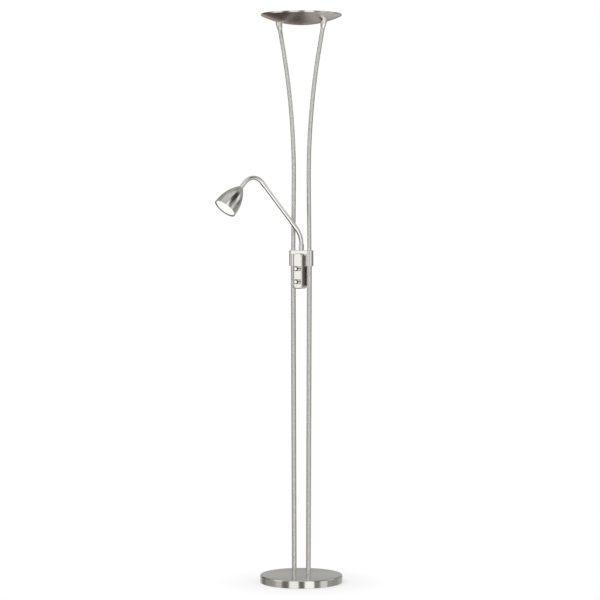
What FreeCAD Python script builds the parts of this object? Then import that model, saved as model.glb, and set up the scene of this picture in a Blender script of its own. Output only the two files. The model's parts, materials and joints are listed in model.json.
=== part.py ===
import FreeCAD, Part
import math
import os

# Torchiere floor lamp with a reading arm. Millimetres and degrees.
# Origin at the centre of the foot on the floor, +Z up, the poles at +X and -X, front at -Y.

V = FreeCAD.Vector
UP = V(0, 0, 1)
SIDES = {"left": -1, "right": 1}

# ---------------------------------------------------------------- driving dimensions
lamp_height = 1800.0

# foot
foot_d = 260.0
foot_h = 25.0
foot_edge_r = 4.0
foot_wall = 1.5
skirt_lift = 1.2
pad_t = 2.0
pad_inset = 7.0
plate_t = 1.2
plate_gap = 0.6
weight_gap = 9.5
plate_screw_circle_r = 85.0
plate_screw_r = 2.5
plate_screw_length = 9.0
weight_seat_t = 5.0
stud_r = 4.0
plug_length = 16.0
stud_proud = 0.5
nut_across = 13.0
nut_t = 3.0
washer_r = 9.5
washer_t = 1.5
pocket_gap = 1.2
gland_z = 12.0
gland_neck_r = 5.0
gland_flange_r = 7.0
gland_flange_t = 2.0
gland_bore_r = 3.6
block_size = V(22, 14, 11)
block_y = 62.0
block_ways = 3

# poles
foot_spacing = 55.0
bracket_spacing = 63.4
waist_spacing = 58.2
waist_z = 1285.0
bowl_spacing = 177.86
pole_top_run = 94.4
lower_tube_r = 7.5
lower_tube_wall = 1.5
upper_tube_r = 6.5
upper_tube_wall = 1.2
ferrule_r = 9.8
ferrule_cone_length = 16.0
ferrule_rim_length = 11.0
ferrule_lip = 0.5
lead_r = 2.5
lead_gap = 0.4
lead_bend_r = 6.0
fit_gap = 0.1

# bowl
bowl_d = 256.0
bowl_depth = 34.0
bowl_lip = 5.0
bowl_wall = 1.2
lip_round_h = 0.55
bowl_plate_gap = 0.6
bowl_plate_t = 1.0
bowl_plate_edge = 5.0
trough_length = 154.0
trough_width = 48.0
trough_depth = 10.9
trough_wall = 0.8
trough_flange = 5.0
trough_corner_r = 8.0
tube_lamp_r = 4.5
tube_lamp_length = 92.0
tube_lamp_round_r = 1.8
tube_end_r = 3.8
tube_end_length = 12.0
holder_size = V(12, 18, 9)
shield_t = 4.0
shield_overlap = 4.0
shield_gap = 0.3
clip_width = 10.0
clip_t = 0.8
clip_lap = 6.0
clip_foot = 9.0
clip_x = 45.0
clip_screw_r = 1.5
clip_screw_head_r = 2.8
clip_screw_head_t = 1.6
clip_screw_proud = 0.5

# bracket
bracket_bottom_z = 1002.0
bracket_body_h = 38.0
bracket_cap_h = 11.5
bracket_end_r = 12.5
bracket_web_half = 8.5
bracket_boss_inset = 1.0
bracket_groove_h = 0.6
bracket_groove_depth = 0.6
cap_edge_r = 1.0
socket_depth = 16.0
upper_socket_depth = 9.0
channel_r = 6.0
clamp_screw_x = 8.0
clamp_screw_y = 6.0
clamp_screw_r = 1.75
clamp_screw_head_r = 3.1
clamp_screw_head_t = 2.6
clamp_screw_reach = 6.0
clamp_hole_spare = 1.0
grub_r = 2.0
grub_inset = 0.5

# dimmer housing
housing_w = 32.0
housing_bottom_z = 930.0
housing_top_z = 1042.0
housing_corner_r = 10.0
housing_edge_r = 3.0
housing_wall = 1.5
fascia_front = 20.0
slot_front = 4.7
slot_back = 2.9
slot_margin = 2.0
carrier_wall = 1.0
carrier_gap = 0.2
carrier_drop = 2.5
knob_upper_z = 993.8
knob_lower_z = 952.6
dimmer_size = V(22, 21, 20)
dimmer_drop = 3.6
bushing_r = 3.5
bushing_length = 6.5
spindle_r = 3.0
spindle_gap = 0.06
spindle_inside = 11.5
spindle_outside = 8.0
panel_nut_across = 10.0
panel_nut_t = 2.0
knob_r = 7.75
knob_length = 11.5
knob_wall = 1.2
knob_round_r = 1.6
knob_gap = 0.4

# reading arm: the plane of the arm is turned from the front towards -X
arm_turn = 20.5
collar_r = 8.0
collar_h = 19.5
collar_gap = 0.3
collar_running_gap = 0.08
collar_stud_r = 5.0
collar_nut_across = 13.0
collar_nut_t = 4.0
neck_r = 6.5
neck_bore_r = 2.6
ball_r = 5.2
ball_gap = 0.3
link_gap = 2.7
lower_bend_r = 75.0
lower_bend = 41.6
lower_joints = 4
arm_straight = 192.9
arm_ferrule_r = 7.0
arm_ferrule_length = 32.0
arm_ferrule_seat = 10.7
arm_tube_r = 6.3
arm_tube_wall = 1.0
end_ferrule_length = 18.0
end_ferrule_seat = 12.0
upper_bend_r = 42.0
upper_bend = 96.4
upper_joints = 6
head_neck = 23.0

# reading head
shade_length = 88.0
shade_rim_r = 37.2
shade_neck_r = 7.6
shade_wall = 0.9
shade_power = 2.25
liner_wall = 0.6
liner_gap = 0.4
liner_start = 34.0
head_stud_r = 4.0
head_nut_across = 11.0
head_nut_t = 4.0
socket_floor_t = 1.5
socket_r = 10.0
socket_length = 21.0
socket_edge_r = 1.0
capsule_r = 6.5
capsule_length = 34.0
capsule_foot_r = 5.2
capsule_foot_length = 10.5
capsule_round_r = 5.2
lens_t = 3.0
lens_edge_r = 0.6
lens_recess = 3.2
rim_ring_t = 1.2
rim_ring_width = 2.0


# ---------------------------------------------------------------- shape helpers
def solid(shape):
    """One clean solid, or a compound where the piece is several."""
    shape = shape.removeSplitter()
    if len(shape.Solids) == 1:
        return shape.Solids[0]
    return Part.makeCompound(shape.Solids)


def rod(radius, start, end):
    """A round bar between two points."""
    run = end - start
    return Part.makeCylinder(radius, run.Length, start, run)


def disc(radius, z0, z1):
    return rod(radius, V(0, 0, z0), V(0, 0, z1))


def block(x0, x1, y0, y1, z0, z1):
    return Part.makeBox(x1 - x0, y1 - y0, z1 - z0, V(x0, y0, z0))


def spun(points):
    """A closed profile of (radius, height) points turned about Z."""
    corners = [V(r, 0, z) for r, z in points]
    face = Part.Face(Part.makePolygon(corners + corners[:1]))
    return face.revolve(V(0, 0, 0), UP, 360)


def spun_edges(edges):
    """A closed profile of ready edges turned about Z."""
    face = Part.Face(Part.Wire(Part.__sortEdges__(edges)))
    return face.revolve(V(0, 0, 0), UP, 360)


def hexagon(across, z0, z1):
    """A hexagonal bar on the Z axis, by its size across the flats."""
    reach = across / 2 / math.cos(math.radians(30))
    corners = [V(reach * math.cos(math.radians(60 * i)), reach * math.sin(math.radians(60 * i)), z0)
               for i in range(7)]
    return Part.Face(Part.makePolygon(corners)).extrude(V(0, 0, z1 - z0))


def bent_rod(radius, points, bends):
    """A round bar along straight runs joined by tangent arcs, one bend radius for each corner."""
    edges = []
    start = points[0]
    for before, corner, after, bend in zip(points, points[1:], points[2:], bends):
        back = (before - corner).normalize()
        on = (after - corner).normalize()
        half = back.getAngle(on) / 2
        to_centre = (back + on).normalize()
        enter = corner + back * (bend / math.tan(half))
        leave = corner + on * (bend / math.tan(half))
        middle = corner + to_centre * (bend / math.sin(half) - bend)
        edges.append(Part.makeLine(start, enter))
        edges.append(Part.Arc(enter, middle, leave).toShape())
        start = leave
    edges.append(Part.makeLine(start, points[-1]))
    ring = Part.Wire(Part.makeCircle(radius, points[0], points[1] - points[0]))
    return Part.Wire(edges).makePipeShell([ring], True, True)


def placed(shape, origin, direction):
    """A shape made along +Z from the origin, moved to lie along a direction."""
    moved = shape.copy()
    moved.Placement = FreeCAD.Placement(origin, FreeCAD.Rotation(UP, direction))
    return moved


def round_rect(half_w, z0, z1, radius, y, top_radius=None):
    """A face in the XZ plane at y: a rectangle with rounded corners, the top ones optional."""
    top_radius = radius if top_radius is None else top_radius
    edges = []
    diagonal = math.cos(math.radians(45))
    corners = [(1, z1, top_radius, 1), (-1, z1, top_radius, 1), (-1, z0, radius, -1), (1, z0, radius, -1)]
    ends = []
    for side, z, r, rise in corners:
        centre = V(side * (half_w - r), y, z - rise * r)
        on_side = V(side * half_w, y, z - rise * r)
        on_end = V(side * (half_w - r), y, z)
        middle = centre + V(side * r * diagonal, 0, rise * r * diagonal)
        first, last = (on_side, on_end) if side * rise > 0 else (on_end, on_side)
        if r > 0:
            edges.append(Part.Arc(first, middle, last).toShape())
        ends.append((first, last))
    for i in range(4):
        edges.append(Part.makeLine(ends[i][1], ends[(i + 1) % 4][0]))
    return Part.Face(Part.Wire(Part.__sortEdges__(edges)))


def round_plate(half_x, half_y, radius, z0, z1):
    """A flat plate with four rounded corners, seen from above."""
    plate = block(-half_x, half_x, -half_y, half_y, z0, z1)
    upright = [e for e in plate.Edges if abs(e.Vertexes[0].Z - e.Vertexes[1].Z) > 1e-6]
    return plate.makeFillet(radius, upright)


def stadium(half_spacing, radius, z0, z1):
    """A bar with round ends about the two poles."""
    bar = block(-half_spacing, half_spacing, -radius, radius, z0, z1)
    for side in SIDES.values():
        bar = bar.fuse(rod(radius, V(side * half_spacing, 0, z0), V(side * half_spacing, 0, z1)))
    return bar.removeSplitter()


# ---------------------------------------------------------------- places that several pieces share
foot_r = foot_d / 2
weight_r = foot_r - foot_wall - weight_gap
plate_z = pad_t
weight_z = plate_z + plate_t
weight_top_z = foot_h - foot_wall
bracket_split_z = bracket_bottom_z + bracket_body_h
bracket_top_z = bracket_split_z + bracket_cap_h
bracket_half = bracket_spacing / 2
foot_half = foot_spacing / 2
lower_end_z = bracket_bottom_z + socket_depth
upper_start_z = bracket_split_z - upper_socket_depth
socket_z = (lower_end_z + upper_start_z) / 2
foot_seat_z = weight_top_z - weight_seat_t
foot_nut_z = foot_seat_z - washer_t - nut_t
stud_bore_r = lead_r + lead_gap
bowl_seat_r = nut_across / 2 / math.cos(math.radians(30)) + fit_gap
lead_run_z = weight_z + lead_r + fit_gap
block_x = foot_half

housing_half = housing_w / 2
inner_half = housing_half - housing_wall
inner_corner_r = housing_corner_r - housing_wall
dimmer_top_z = bracket_bottom_z - housing_wall - dimmer_drop
spindle_offset = knob_upper_z - (dimmer_top_z - dimmer_size.z / 2)

bowl_r = bowl_d / 2
bowl_cap = bowl_depth - bowl_lip
bowl_sphere_r = (bowl_r ** 2 + bowl_cap ** 2) / (2 * bowl_cap)
bowl_bottom_z = lamp_height - bowl_depth
bowl_centre_z = bowl_bottom_z + bowl_sphere_r


def lower_axis(side, z):
    """The point at height z on the axis of a lower tube, which leans a little outwards."""
    share = (z - foot_h) / (socket_z - foot_h)
    return V(side * (foot_half + (bracket_half - foot_half) * share), 0, z)


def sphere_z(radius, r):
    """The height of a sphere about the bowl's centre at a distance r from the axis."""
    return bowl_centre_z - math.sqrt(radius ** 2 - r ** 2)


class UpperPath:
    """The axis of an upper tube: a straight run, a long bow and a straight run at its top.

    The bow is upright at the waist. Its radius follows from the place where the pole meets the bowl.
    """

    def __init__(self, side):
        self.side = side
        self.start = V(side * bracket_half, 0, socket_z)
        waist_x = waist_spacing / 2
        out = bowl_spacing / 2 - waist_x
        up = sphere_z(bowl_sphere_r, bowl_spacing / 2) - waist_z
        self.bow_r = (out ** 2 + up ** 2 - pole_top_run ** 2) / (2 * out)
        self.centre = V(side * (waist_x + self.bow_r), 0, waist_z)
        across = waist_x + self.bow_r - bracket_half
        down = waist_z - socket_z
        reach = math.hypot(across, down)
        self.first_angle = math.acos(self.bow_r / reach) - math.atan2(down, across)
        self.last_angle = math.atan2(up, self.bow_r - out) - math.atan2(pole_top_run, self.bow_r)
        self.bow_start = self.on_bow(self.first_angle)
        self.bow_end = self.on_bow(self.last_angle)
        self.top_run = V(side * math.sin(self.last_angle), 0, math.cos(self.last_angle))

    def on_bow(self, angle):
        inwards = V(-self.side * math.cos(angle), 0, math.sin(angle))
        return self.centre + inwards * self.bow_r

    def meets_bowl(self, radius):
        """Where the top run's line meets a sphere about the bowl's centre, on its lower side."""
        to_centre = V(0, 0, bowl_centre_z) - self.bow_end
        along = to_centre.dot(self.top_run)
        apart = (to_centre - self.top_run * along).Length
        return self.bow_end + self.top_run * (along - math.sqrt(radius ** 2 - apart ** 2))

    def tube(self, radius, start, end):
        """A round bar along the whole path, from one point of it to another."""
        shape = rod(radius, start, self.bow_start)
        ring = Part.Face(Part.Wire(Part.makeCircle(radius, self.bow_start, self.bow_start - start)))
        turn = math.degrees(self.last_angle - self.first_angle)
        shape = shape.fuse(ring.revolve(self.centre, V(0, self.side, 0), turn))
        return shape.fuse(rod(radius, self.bow_end, end)).removeSplitter()


upper_paths = {name: UpperPath(side) for name, side in SIDES.items()}


def bowl_seat(path):
    """Where the nut of a pole sits in the bowl: the flat top of a seat that is square to the pole."""
    inner_r = bowl_sphere_r - bowl_wall
    inside = path.meets_bowl(inner_r)
    to_centre = V(0, 0, bowl_centre_z) - inside
    lean = to_centre.getAngle(path.top_run)
    rise = bowl_seat_r * math.tan(lean) + bowl_seat_r ** 2 / (2 * inner_r)
    return inside + path.top_run * (rise + fit_gap)


def bowl_nut_top():
    """The height of the highest corner of the nuts in the bowl, which the inner plate has to clear."""
    path = upper_paths["right"]
    top = bowl_seat(path) + path.top_run * nut_t
    return top.z + bowl_seat_r * math.sin(path.last_angle)


bowl_plate_z = bowl_nut_top() + bowl_plate_gap + bowl_plate_t
shield_z = bowl_plate_z + trough_wall + shield_gap


# ---------------------------------------------------------------- the reading arm's route
class Arm:
    """The arm's centre line in its own upright plane: distance out from the axis, and height."""

    def __init__(self):
        turn = math.radians(arm_turn)
        self.out = V(-math.sin(turn), -math.cos(turn), 0)
        self.top_z = bracket_top_z + collar_h
        self.low_step = math.radians(lower_bend) / lower_joints
        self.high_step = math.radians(upper_bend) / upper_joints
        self.low_head = math.radians(lower_bend)
        self.high_head = math.radians(lower_bend + upper_bend)
        self.low_pivots = [self.low_point((i + 0.5) * self.low_step, self.vertex(lower_bend_r, self.low_step))
                           for i in range(lower_joints)]
        self.tube_start = self.low_point(self.low_head, lower_bend_r)
        self.tube_run = self.heading(self.low_head)
        self.tube_end = self.tube_start + self.tube_run * arm_straight
        side = self.out * math.cos(self.low_head) - UP * math.sin(self.low_head)
        self.high_centre = self.tube_end + side * upper_bend_r
        self.high_pivots = [self.high_point((i + 0.5) * self.high_step,
                                            self.vertex(upper_bend_r, self.high_step))
                            for i in range(upper_joints)]
        self.bend_end = self.high_point(self.high_head - self.low_head, upper_bend_r)
        self.head_run = self.heading(self.high_head)
        self.head = self.bend_end + self.head_run * head_neck

    def vertex(self, radius, step):
        return radius / math.cos(step / 2)

    def heading(self, angle):
        return self.out * math.sin(angle) + UP * math.cos(angle)

    def low_point(self, angle, radius):
        out = lower_bend_r - radius * math.cos(angle)
        return self.out * out + UP * (self.top_z + radius * math.sin(angle))

    def high_point(self, angle, radius):
        heading = self.low_head + angle
        return self.high_centre + (self.out * -math.cos(heading) + UP * math.sin(heading)) * radius


arm = Arm()


def link(length, radius=neck_r, has_socket=True, has_ball=True, start=0.0):
    """One sleeve of a flexible neck, along +Z between two pivots, bored for the lead."""
    body_end = length - link_gap if has_ball else length
    body = disc(radius, start, body_end)
    if has_ball:
        body = body.fuse(Part.makeSphere(ball_r, V(0, 0, length)))
    if has_socket:
        body = body.cut(Part.makeSphere(ball_r + ball_gap, V(0, 0, 0)))
    low = min(start, 0) - ball_r
    return body.cut(disc(neck_bore_r, low, length + ball_r + 1))


# ---------------------------------------------------------------- foot
def make_foot_cover():
    outside = disc(foot_r, skirt_lift, foot_h)
    top_edge = [e for e in outside.Edges if e.Closed and abs(e.Vertexes[0].Z - foot_h) < 1e-6]
    outside = outside.makeFillet(foot_edge_r, top_edge)
    inside = disc(foot_r - foot_wall, 0, foot_h - foot_wall)
    inner_edge = [e for e in inside.Edges if e.Closed and e.Vertexes[0].Z > foot_h / 2]
    inside = inside.makeFillet(foot_edge_r - foot_wall, inner_edge)
    cover = outside.cut(inside)
    for side in SIDES.values():
        cover = cover.cut(rod(stud_r + fit_gap, lower_axis(side, 0), lower_axis(side, foot_h * 2)))
    return cover.cut(rod(gland_neck_r + fit_gap, V(0, weight_r, gland_z), V(0, foot_r * 2, gland_z)))


def make_foot_weight():
    """The cast weight, with a pocket under each pole, one for the block and channels for the leads."""
    weight = disc(weight_r, weight_z, weight_top_z)
    pocket_r = washer_r + pocket_gap
    for side in SIDES.values():
        weight = weight.cut(rod(stud_r + fit_gap, lower_axis(side, 0), lower_axis(side, foot_h)))
        weight = weight.cut(rod(pocket_r, lower_axis(side, 0), lower_axis(side, foot_seat_z)))
    half_inlet = gland_neck_r
    inlet_top = gland_z + gland_bore_r + pocket_gap
    weight = weight.cut(block(-half_inlet, half_inlet, block_y, foot_r, 0, inlet_top))
    room = block_size / 2 + V(pocket_gap, pocket_gap, 0)
    block_top = weight_z + block_size.z + fit_gap
    weight = weight.cut(block(-half_inlet, block_x + room.x, block_y - room.y, block_y + room.y,
                              0, block_top))
    half_lead = lead_r + pocket_gap
    lead_top = lead_run_z + lead_r + pocket_gap
    weight = weight.cut(block(block_x - half_lead, block_x + half_lead, 0, block_y, 0, lead_top))
    hole = UP * (plate_screw_length + plate_t + fit_gap)
    for spot in plate_screw_spots():
        weight = weight.cut(rod(plate_screw_r + fit_gap, spot, spot + hole))
    return weight


def plate_screw_spots():
    angles = [math.radians(30 + 120 * i) for i in range(3)]
    return [V(math.cos(a), math.sin(a), 0) * plate_screw_circle_r + UP * plate_z for a in angles]


def make_bottom_plate():
    plate = disc(foot_r - foot_wall - plate_gap, plate_z, weight_z)
    head_hole_r = 2 * plate_screw_r + 2 * fit_gap
    for spot in plate_screw_spots():
        plate = plate.cut(Part.makeCone(head_hole_r, plate_screw_r + fit_gap, plate_t, spot, UP))
    return plate


def make_plate_screws():
    screws = []
    for spot in plate_screw_spots():
        head = Part.makeCone(2 * plate_screw_r, plate_screw_r, plate_t, spot, UP)
        shank = rod(plate_screw_r, spot + UP * plate_t, spot + UP * (plate_t + plate_screw_length))
        screws.append(head.fuse(shank))
    return Part.makeCompound([solid(s) for s in screws])


def make_foot_pad():
    return disc(foot_r - pad_inset, 0, pad_t)


def along_lower(side, shape, z):
    """Seat a shape, made about Z from its own origin, on the axis of a lower tube at height z."""
    run = lower_axis(side, foot_h * 2) - lower_axis(side, 0)
    return placed(shape, lower_axis(side, z), run)


def make_pole_nuts():
    """Four equal nuts: one under each pole in the foot, one over each pole in the bowl."""
    nut = hexagon(nut_across, 0, nut_t).cut(disc(stud_r, -1, nut_t + 1))
    nuts = [along_lower(side, nut, foot_nut_z) for side in SIDES.values()]
    nuts += [placed(nut, bowl_seat(path), path.top_run) for path in upper_paths.values()]
    return Part.makeCompound(nuts)


def make_foot_washers():
    washer = disc(washer_r, 0, washer_t).cut(disc(stud_r + fit_gap, -1, washer_t + 1))
    return Part.makeCompound([along_lower(side, washer, foot_nut_z + nut_t) for side in SIDES.values()])


def make_foot_studs():
    """Hollow threaded studs, each with a wide head that is pressed into the foot of a lower tube."""
    shoulder = foot_h - foot_nut_z + fit_gap
    head = disc(lower_tube_r - lower_tube_wall - fit_gap, shoulder, shoulder + plug_length)
    stud = head.fuse(disc(stud_r, -stud_proud, shoulder))
    stud = solid(stud.cut(disc(stud_bore_r, -2 * stud_proud, shoulder + plug_length + 1)))
    return Part.makeCompound([along_lower(side, stud, foot_nut_z) for side in SIDES.values()])


def make_cord_gland():
    def ring(y0, y1, radius):
        return rod(radius, V(0, y0, gland_z), V(0, y1, gland_z))

    skirt_in = math.sqrt((foot_r - foot_wall) ** 2 - gland_flange_r ** 2) - fit_gap
    outside = foot_r + fit_gap / 2
    gland = ring(skirt_in - gland_flange_t, skirt_in, gland_flange_r)
    gland = gland.fuse(ring(skirt_in, outside, gland_neck_r))
    gland = gland.fuse(ring(outside, outside + gland_flange_t, gland_flange_r))
    return gland.cut(ring(0, foot_r * 2, gland_bore_r))


def make_terminal_block():
    half = block_size / 2
    z0 = weight_z + fit_gap
    body = block(block_x - half.x, block_x + half.x, block_y - half.y, block_y + half.y,
                 z0, z0 + block_size.z - fit_gap)
    pitch = block_size.x / block_ways
    for i in range(block_ways):
        x = block_x + (i - (block_ways - 1) / 2) * pitch
        body = body.cut(rod(lead_r + fit_gap, V(x, block_y - half.y - 1, lead_run_z),
                            V(x, block_y + half.y + 1, lead_run_z)))
    return body


# ---------------------------------------------------------------- poles
def make_lower_tube(side):
    run = rod(lower_tube_r, lower_axis(side, 0), lower_axis(side, lower_end_z + foot_h))
    bore = rod(lower_tube_r - lower_tube_wall, lower_axis(side, 0), lower_axis(side, lower_end_z + foot_h))
    reach = bracket_spacing
    return run.cut(bore).common(block(-reach, reach, -reach, reach, foot_h, lower_end_z))


def make_upper_tube(name):
    path = upper_paths[name]
    end = path.meets_bowl(bowl_sphere_r) - path.top_run * ferrule_rim_length
    start = path.start - (path.bow_start - path.start).normalize() * upper_socket_depth
    outside = path.tube(upper_tube_r, start, end)
    bore = path.tube(upper_tube_r - upper_tube_wall, start, end)
    reach = bowl_r
    room = block(-reach, reach, -reach, reach, upper_start_z, lamp_height)
    return outside.cut(bore).common(room)


def make_pole_ferrule(path):
    """A tapered ferrule on an upper tube's end, cut to the bowl's underside."""
    end = path.meets_bowl(bowl_sphere_r) - path.top_run * ferrule_rim_length
    start = end - path.top_run * ferrule_cone_length
    sleeve_r = upper_tube_r + fit_gap
    cone = Part.makeCone(sleeve_r + ferrule_lip, ferrule_r, ferrule_cone_length, start, path.top_run)
    shape = cone.fuse(rod(ferrule_r, end, end + path.top_run * ferrule_rim_length * 2))
    shape = shape.cut(rod(sleeve_r, start - path.top_run, end))
    shape = shape.cut(rod(stud_r + fit_gap, start, end + path.top_run * ferrule_rim_length * 3))
    return shape.cut(Part.makeSphere(bowl_sphere_r + fit_gap / 2, V(0, 0, bowl_centre_z)))


def make_bowl_studs():
    """Hollow threaded studs, each with a wide head pressed into the top of an upper tube."""
    studs = []
    for path in upper_paths.values():
        end = bowl_seat(path) + path.top_run * (nut_t + stud_proud)
        shoulder = path.meets_bowl(bowl_sphere_r) - path.top_run * ferrule_rim_length
        start = shoulder - path.top_run * plug_length
        bar = rod(upper_tube_r - upper_tube_wall - fit_gap, start, shoulder)
        bar = bar.fuse(rod(stud_r, start, end))
        studs.append(solid(bar.cut(rod(stud_bore_r, start - path.top_run, end + path.top_run))))
    return Part.makeCompound(studs)


def make_supply_lead():
    """The lead from the terminal block up the right pole and down through the bracket."""
    side = SIDES["right"]
    block_face = block_y - block_size.y / 2
    corner = lower_axis(side, lead_run_z)
    top_z = lower_end_z + lead_bend_r
    channel_x = side * (lead_r + lead_gap / 2)
    route = [V(corner.x, block_face, corner.z), corner, lower_axis(side, top_z),
             V(channel_x, 0, top_z), V(channel_x, 0, dimmer_top_z + fit_gap)]
    return bent_rod(lead_r, route, [lead_bend_r] * 3)


def make_lamp_lead():
    """The lead from the upper dimmer up through the bracket and the left pole to the bowl."""
    path = upper_paths["left"]
    run_z = upper_start_z - lead_bend_r
    channel_x = path.side * (lead_r + lead_gap / 2)
    first_run = (path.bow_start - path.start).normalize()
    corner = path.start + first_run * ((run_z - path.start.z) / first_run.z)
    route = [V(channel_x, 0, dimmer_top_z + fit_gap), V(channel_x, 0, run_z), corner, path.bow_start]
    low = bent_rod(lead_r, route, [lead_bend_r] * 2)
    end = bowl_seat(path) + path.top_run * (nut_t + stud_proud)
    return low.fuse(path.tube(lead_r, path.bow_start - first_run, end))


# ---------------------------------------------------------------- bowl
def make_bowl_shell():
    inner_r = bowl_sphere_r - bowl_wall
    wall_r = bowl_r - bowl_wall
    lip_z = lamp_height - bowl_lip
    middle_r = bowl_r / 2
    edges = [
        Part.Arc(V(0, 0, bowl_bottom_z), V(middle_r, 0, sphere_z(bowl_sphere_r, middle_r)),
                 V(bowl_r, 0, lip_z)).toShape(),
        Part.makeLine(V(bowl_r, 0, lip_z), V(bowl_r, 0, lamp_height - lip_round_h)),
        Part.Arc(V(bowl_r, 0, lamp_height - lip_round_h), V(bowl_r - bowl_wall / 2, 0, lamp_height),
                 V(wall_r, 0, lamp_height - lip_round_h)).toShape(),
        Part.makeLine(V(wall_r, 0, lamp_height - lip_round_h), V(wall_r, 0, sphere_z(inner_r, wall_r))),
        Part.Arc(V(wall_r, 0, sphere_z(inner_r, wall_r)), V(middle_r, 0, sphere_z(inner_r, middle_r)),
                 V(0, 0, bowl_centre_z - inner_r)).toShape(),
        Part.makeLine(V(0, 0, bowl_centre_z - inner_r), V(0, 0, bowl_bottom_z)),
    ]
    shell = spun_edges(edges)
    for path in upper_paths.values():
        inside = path.meets_bowl(bowl_sphere_r)
        seat = rod(bowl_seat_r, inside, bowl_seat(path))
        mid_wall = Part.makeSphere(bowl_sphere_r - bowl_wall / 2, V(0, 0, bowl_centre_z))
        shell = shell.fuse(seat.common(mid_wall))
        shell = shell.cut(rod(stud_r + fit_gap, path.bow_end, path.bow_end + path.top_run * lamp_height))
    return shell


def seat_radius(z):
    """How wide a flat disc at height z may be inside the bowl."""
    inner_r = bowl_sphere_r - bowl_wall - fit_gap
    return math.sqrt(inner_r ** 2 - (bowl_centre_z - z) ** 2)


def make_bowl_plate():
    """The flat inner plate, resting on the bowl's wall, with an upturned edge and a long opening."""
    bottom = bowl_plate_z - bowl_plate_t
    radius = seat_radius(bottom)
    top = bowl_plate_z + bowl_plate_edge
    plate = spun([(0, bottom), (radius, bottom), (radius, top), (radius - bowl_plate_t, top),
                  (radius - bowl_plate_t, bowl_plate_z), (0, bowl_plate_z)])
    half_x = trough_length / 2 + fit_gap
    half_y = trough_width / 2 + fit_gap
    plate = plate.cut(round_plate(half_x, half_y, trough_corner_r + fit_gap, bottom - 1, top + 1))
    for spot in clip_spots():
        foot = V(spot.x, spot.y, bowl_plate_z)
        plate = plate.cut(rod(clip_screw_r + fit_gap, foot - UP * 2 * bowl_plate_t, foot + UP))
    return plate


def make_trough():
    """The pressed reflector tray with a flange that lies on the inner plate."""
    half_x = trough_length / 2
    half_y = trough_width / 2
    bottom = bowl_plate_z - trough_depth
    flange_top = bowl_plate_z + trough_wall
    tray = round_plate(half_x, half_y, trough_corner_r, bottom, flange_top)
    flange = round_plate(half_x + trough_flange, half_y + trough_flange, trough_corner_r + trough_flange,
                         bowl_plate_z, flange_top)
    inside = round_plate(half_x - trough_wall, half_y - trough_wall, trough_corner_r - trough_wall,
                         bottom + trough_wall, flange_top + 1)
    return tray.fuse(flange).cut(inside)


def lamp_axis_z():
    return bowl_plate_z - trough_depth + trough_wall + holder_size.z / 2


def make_lamp_holders():
    """Two ceramic end holders, standing on the trough's floor."""
    floor = bowl_plate_z - trough_depth + trough_wall
    centre_x = tube_lamp_length / 2 + tube_end_length
    holders = []
    for side in SIDES.values():
        middle = side * centre_x
        body = block(middle - holder_size.x / 2, middle + holder_size.x / 2, -holder_size.y / 2,
                     holder_size.y / 2, floor, floor + holder_size.z)
        socket_end = V(side * (centre_x + fit_gap), 0, lamp_axis_z())
        holders.append(body.cut(rod(tube_end_r + fit_gap, V(0, 0, lamp_axis_z()), socket_end)))
    return Part.makeCompound(holders)


def make_tube_lamp():
    half = tube_lamp_length / 2
    glass = rod(tube_lamp_r, V(-half, 0, lamp_axis_z()), V(half, 0, lamp_axis_z()))
    return glass.makeFillet(tube_lamp_round_r, [e for e in glass.Edges if e.Closed])


def make_tube_lamp_ends():
    ends = []
    for side in SIDES.values():
        start = V(side * tube_lamp_length / 2, 0, lamp_axis_z())
        ends.append(rod(tube_end_r, start, start + V(side * tube_end_length, 0, 0)))
    return Part.makeCompound(ends)


def make_glass_shield():
    half_x = trough_length / 2 + shield_overlap
    half_y = trough_width / 2 + shield_overlap
    return round_plate(half_x, half_y, trough_corner_r, shield_z, shield_z + shield_t)


def clip_spots():
    """The screw places of the four clips that hold the glass shield."""
    y = trough_width / 2 + trough_flange + fit_gap + clip_foot / 2
    return [V(x * clip_x, side * y, 0) for x in (-1, 1) for side in (-1, 1)]


def make_shield_clips():
    clips = []
    glass_edge = trough_width / 2 + shield_overlap
    riser_y = trough_width / 2 + trough_flange + fit_gap
    lap_z = shield_z + shield_t + fit_gap
    half = clip_width / 2
    for spot in clip_spots():
        side = 1 if spot.y > 0 else -1

        def bar(y0, y1, z0, z1):
            return block(spot.x - half, spot.x + half, min(side * y0, side * y1), max(side * y0, side * y1),
                         z0, z1)

        clip = bar(riser_y, riser_y + clip_foot, bowl_plate_z, bowl_plate_z + clip_t)
        clip = clip.fuse(bar(riser_y, riser_y + clip_t, bowl_plate_z, lap_z + clip_t))
        clip = clip.fuse(bar(glass_edge - clip_lap, riser_y + clip_t, lap_z, lap_z + clip_t))
        foot = V(spot.x, spot.y, bowl_plate_z)
        clips.append(solid(clip.cut(rod(clip_screw_r + fit_gap, foot - UP, foot + UP * 2 * clip_t))))
    return Part.makeCompound(clips)


def make_clip_screws():
    screws = []
    for spot in clip_spots():
        seat = V(spot.x, spot.y, bowl_plate_z + clip_t)
        head = rod(clip_screw_head_r, seat, seat + UP * clip_screw_head_t)
        shank = rod(clip_screw_r, seat - UP * (clip_t + bowl_plate_t + clip_screw_proud), seat)
        screws.append(solid(head.fuse(shank)))
    return Part.makeCompound(screws)


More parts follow.
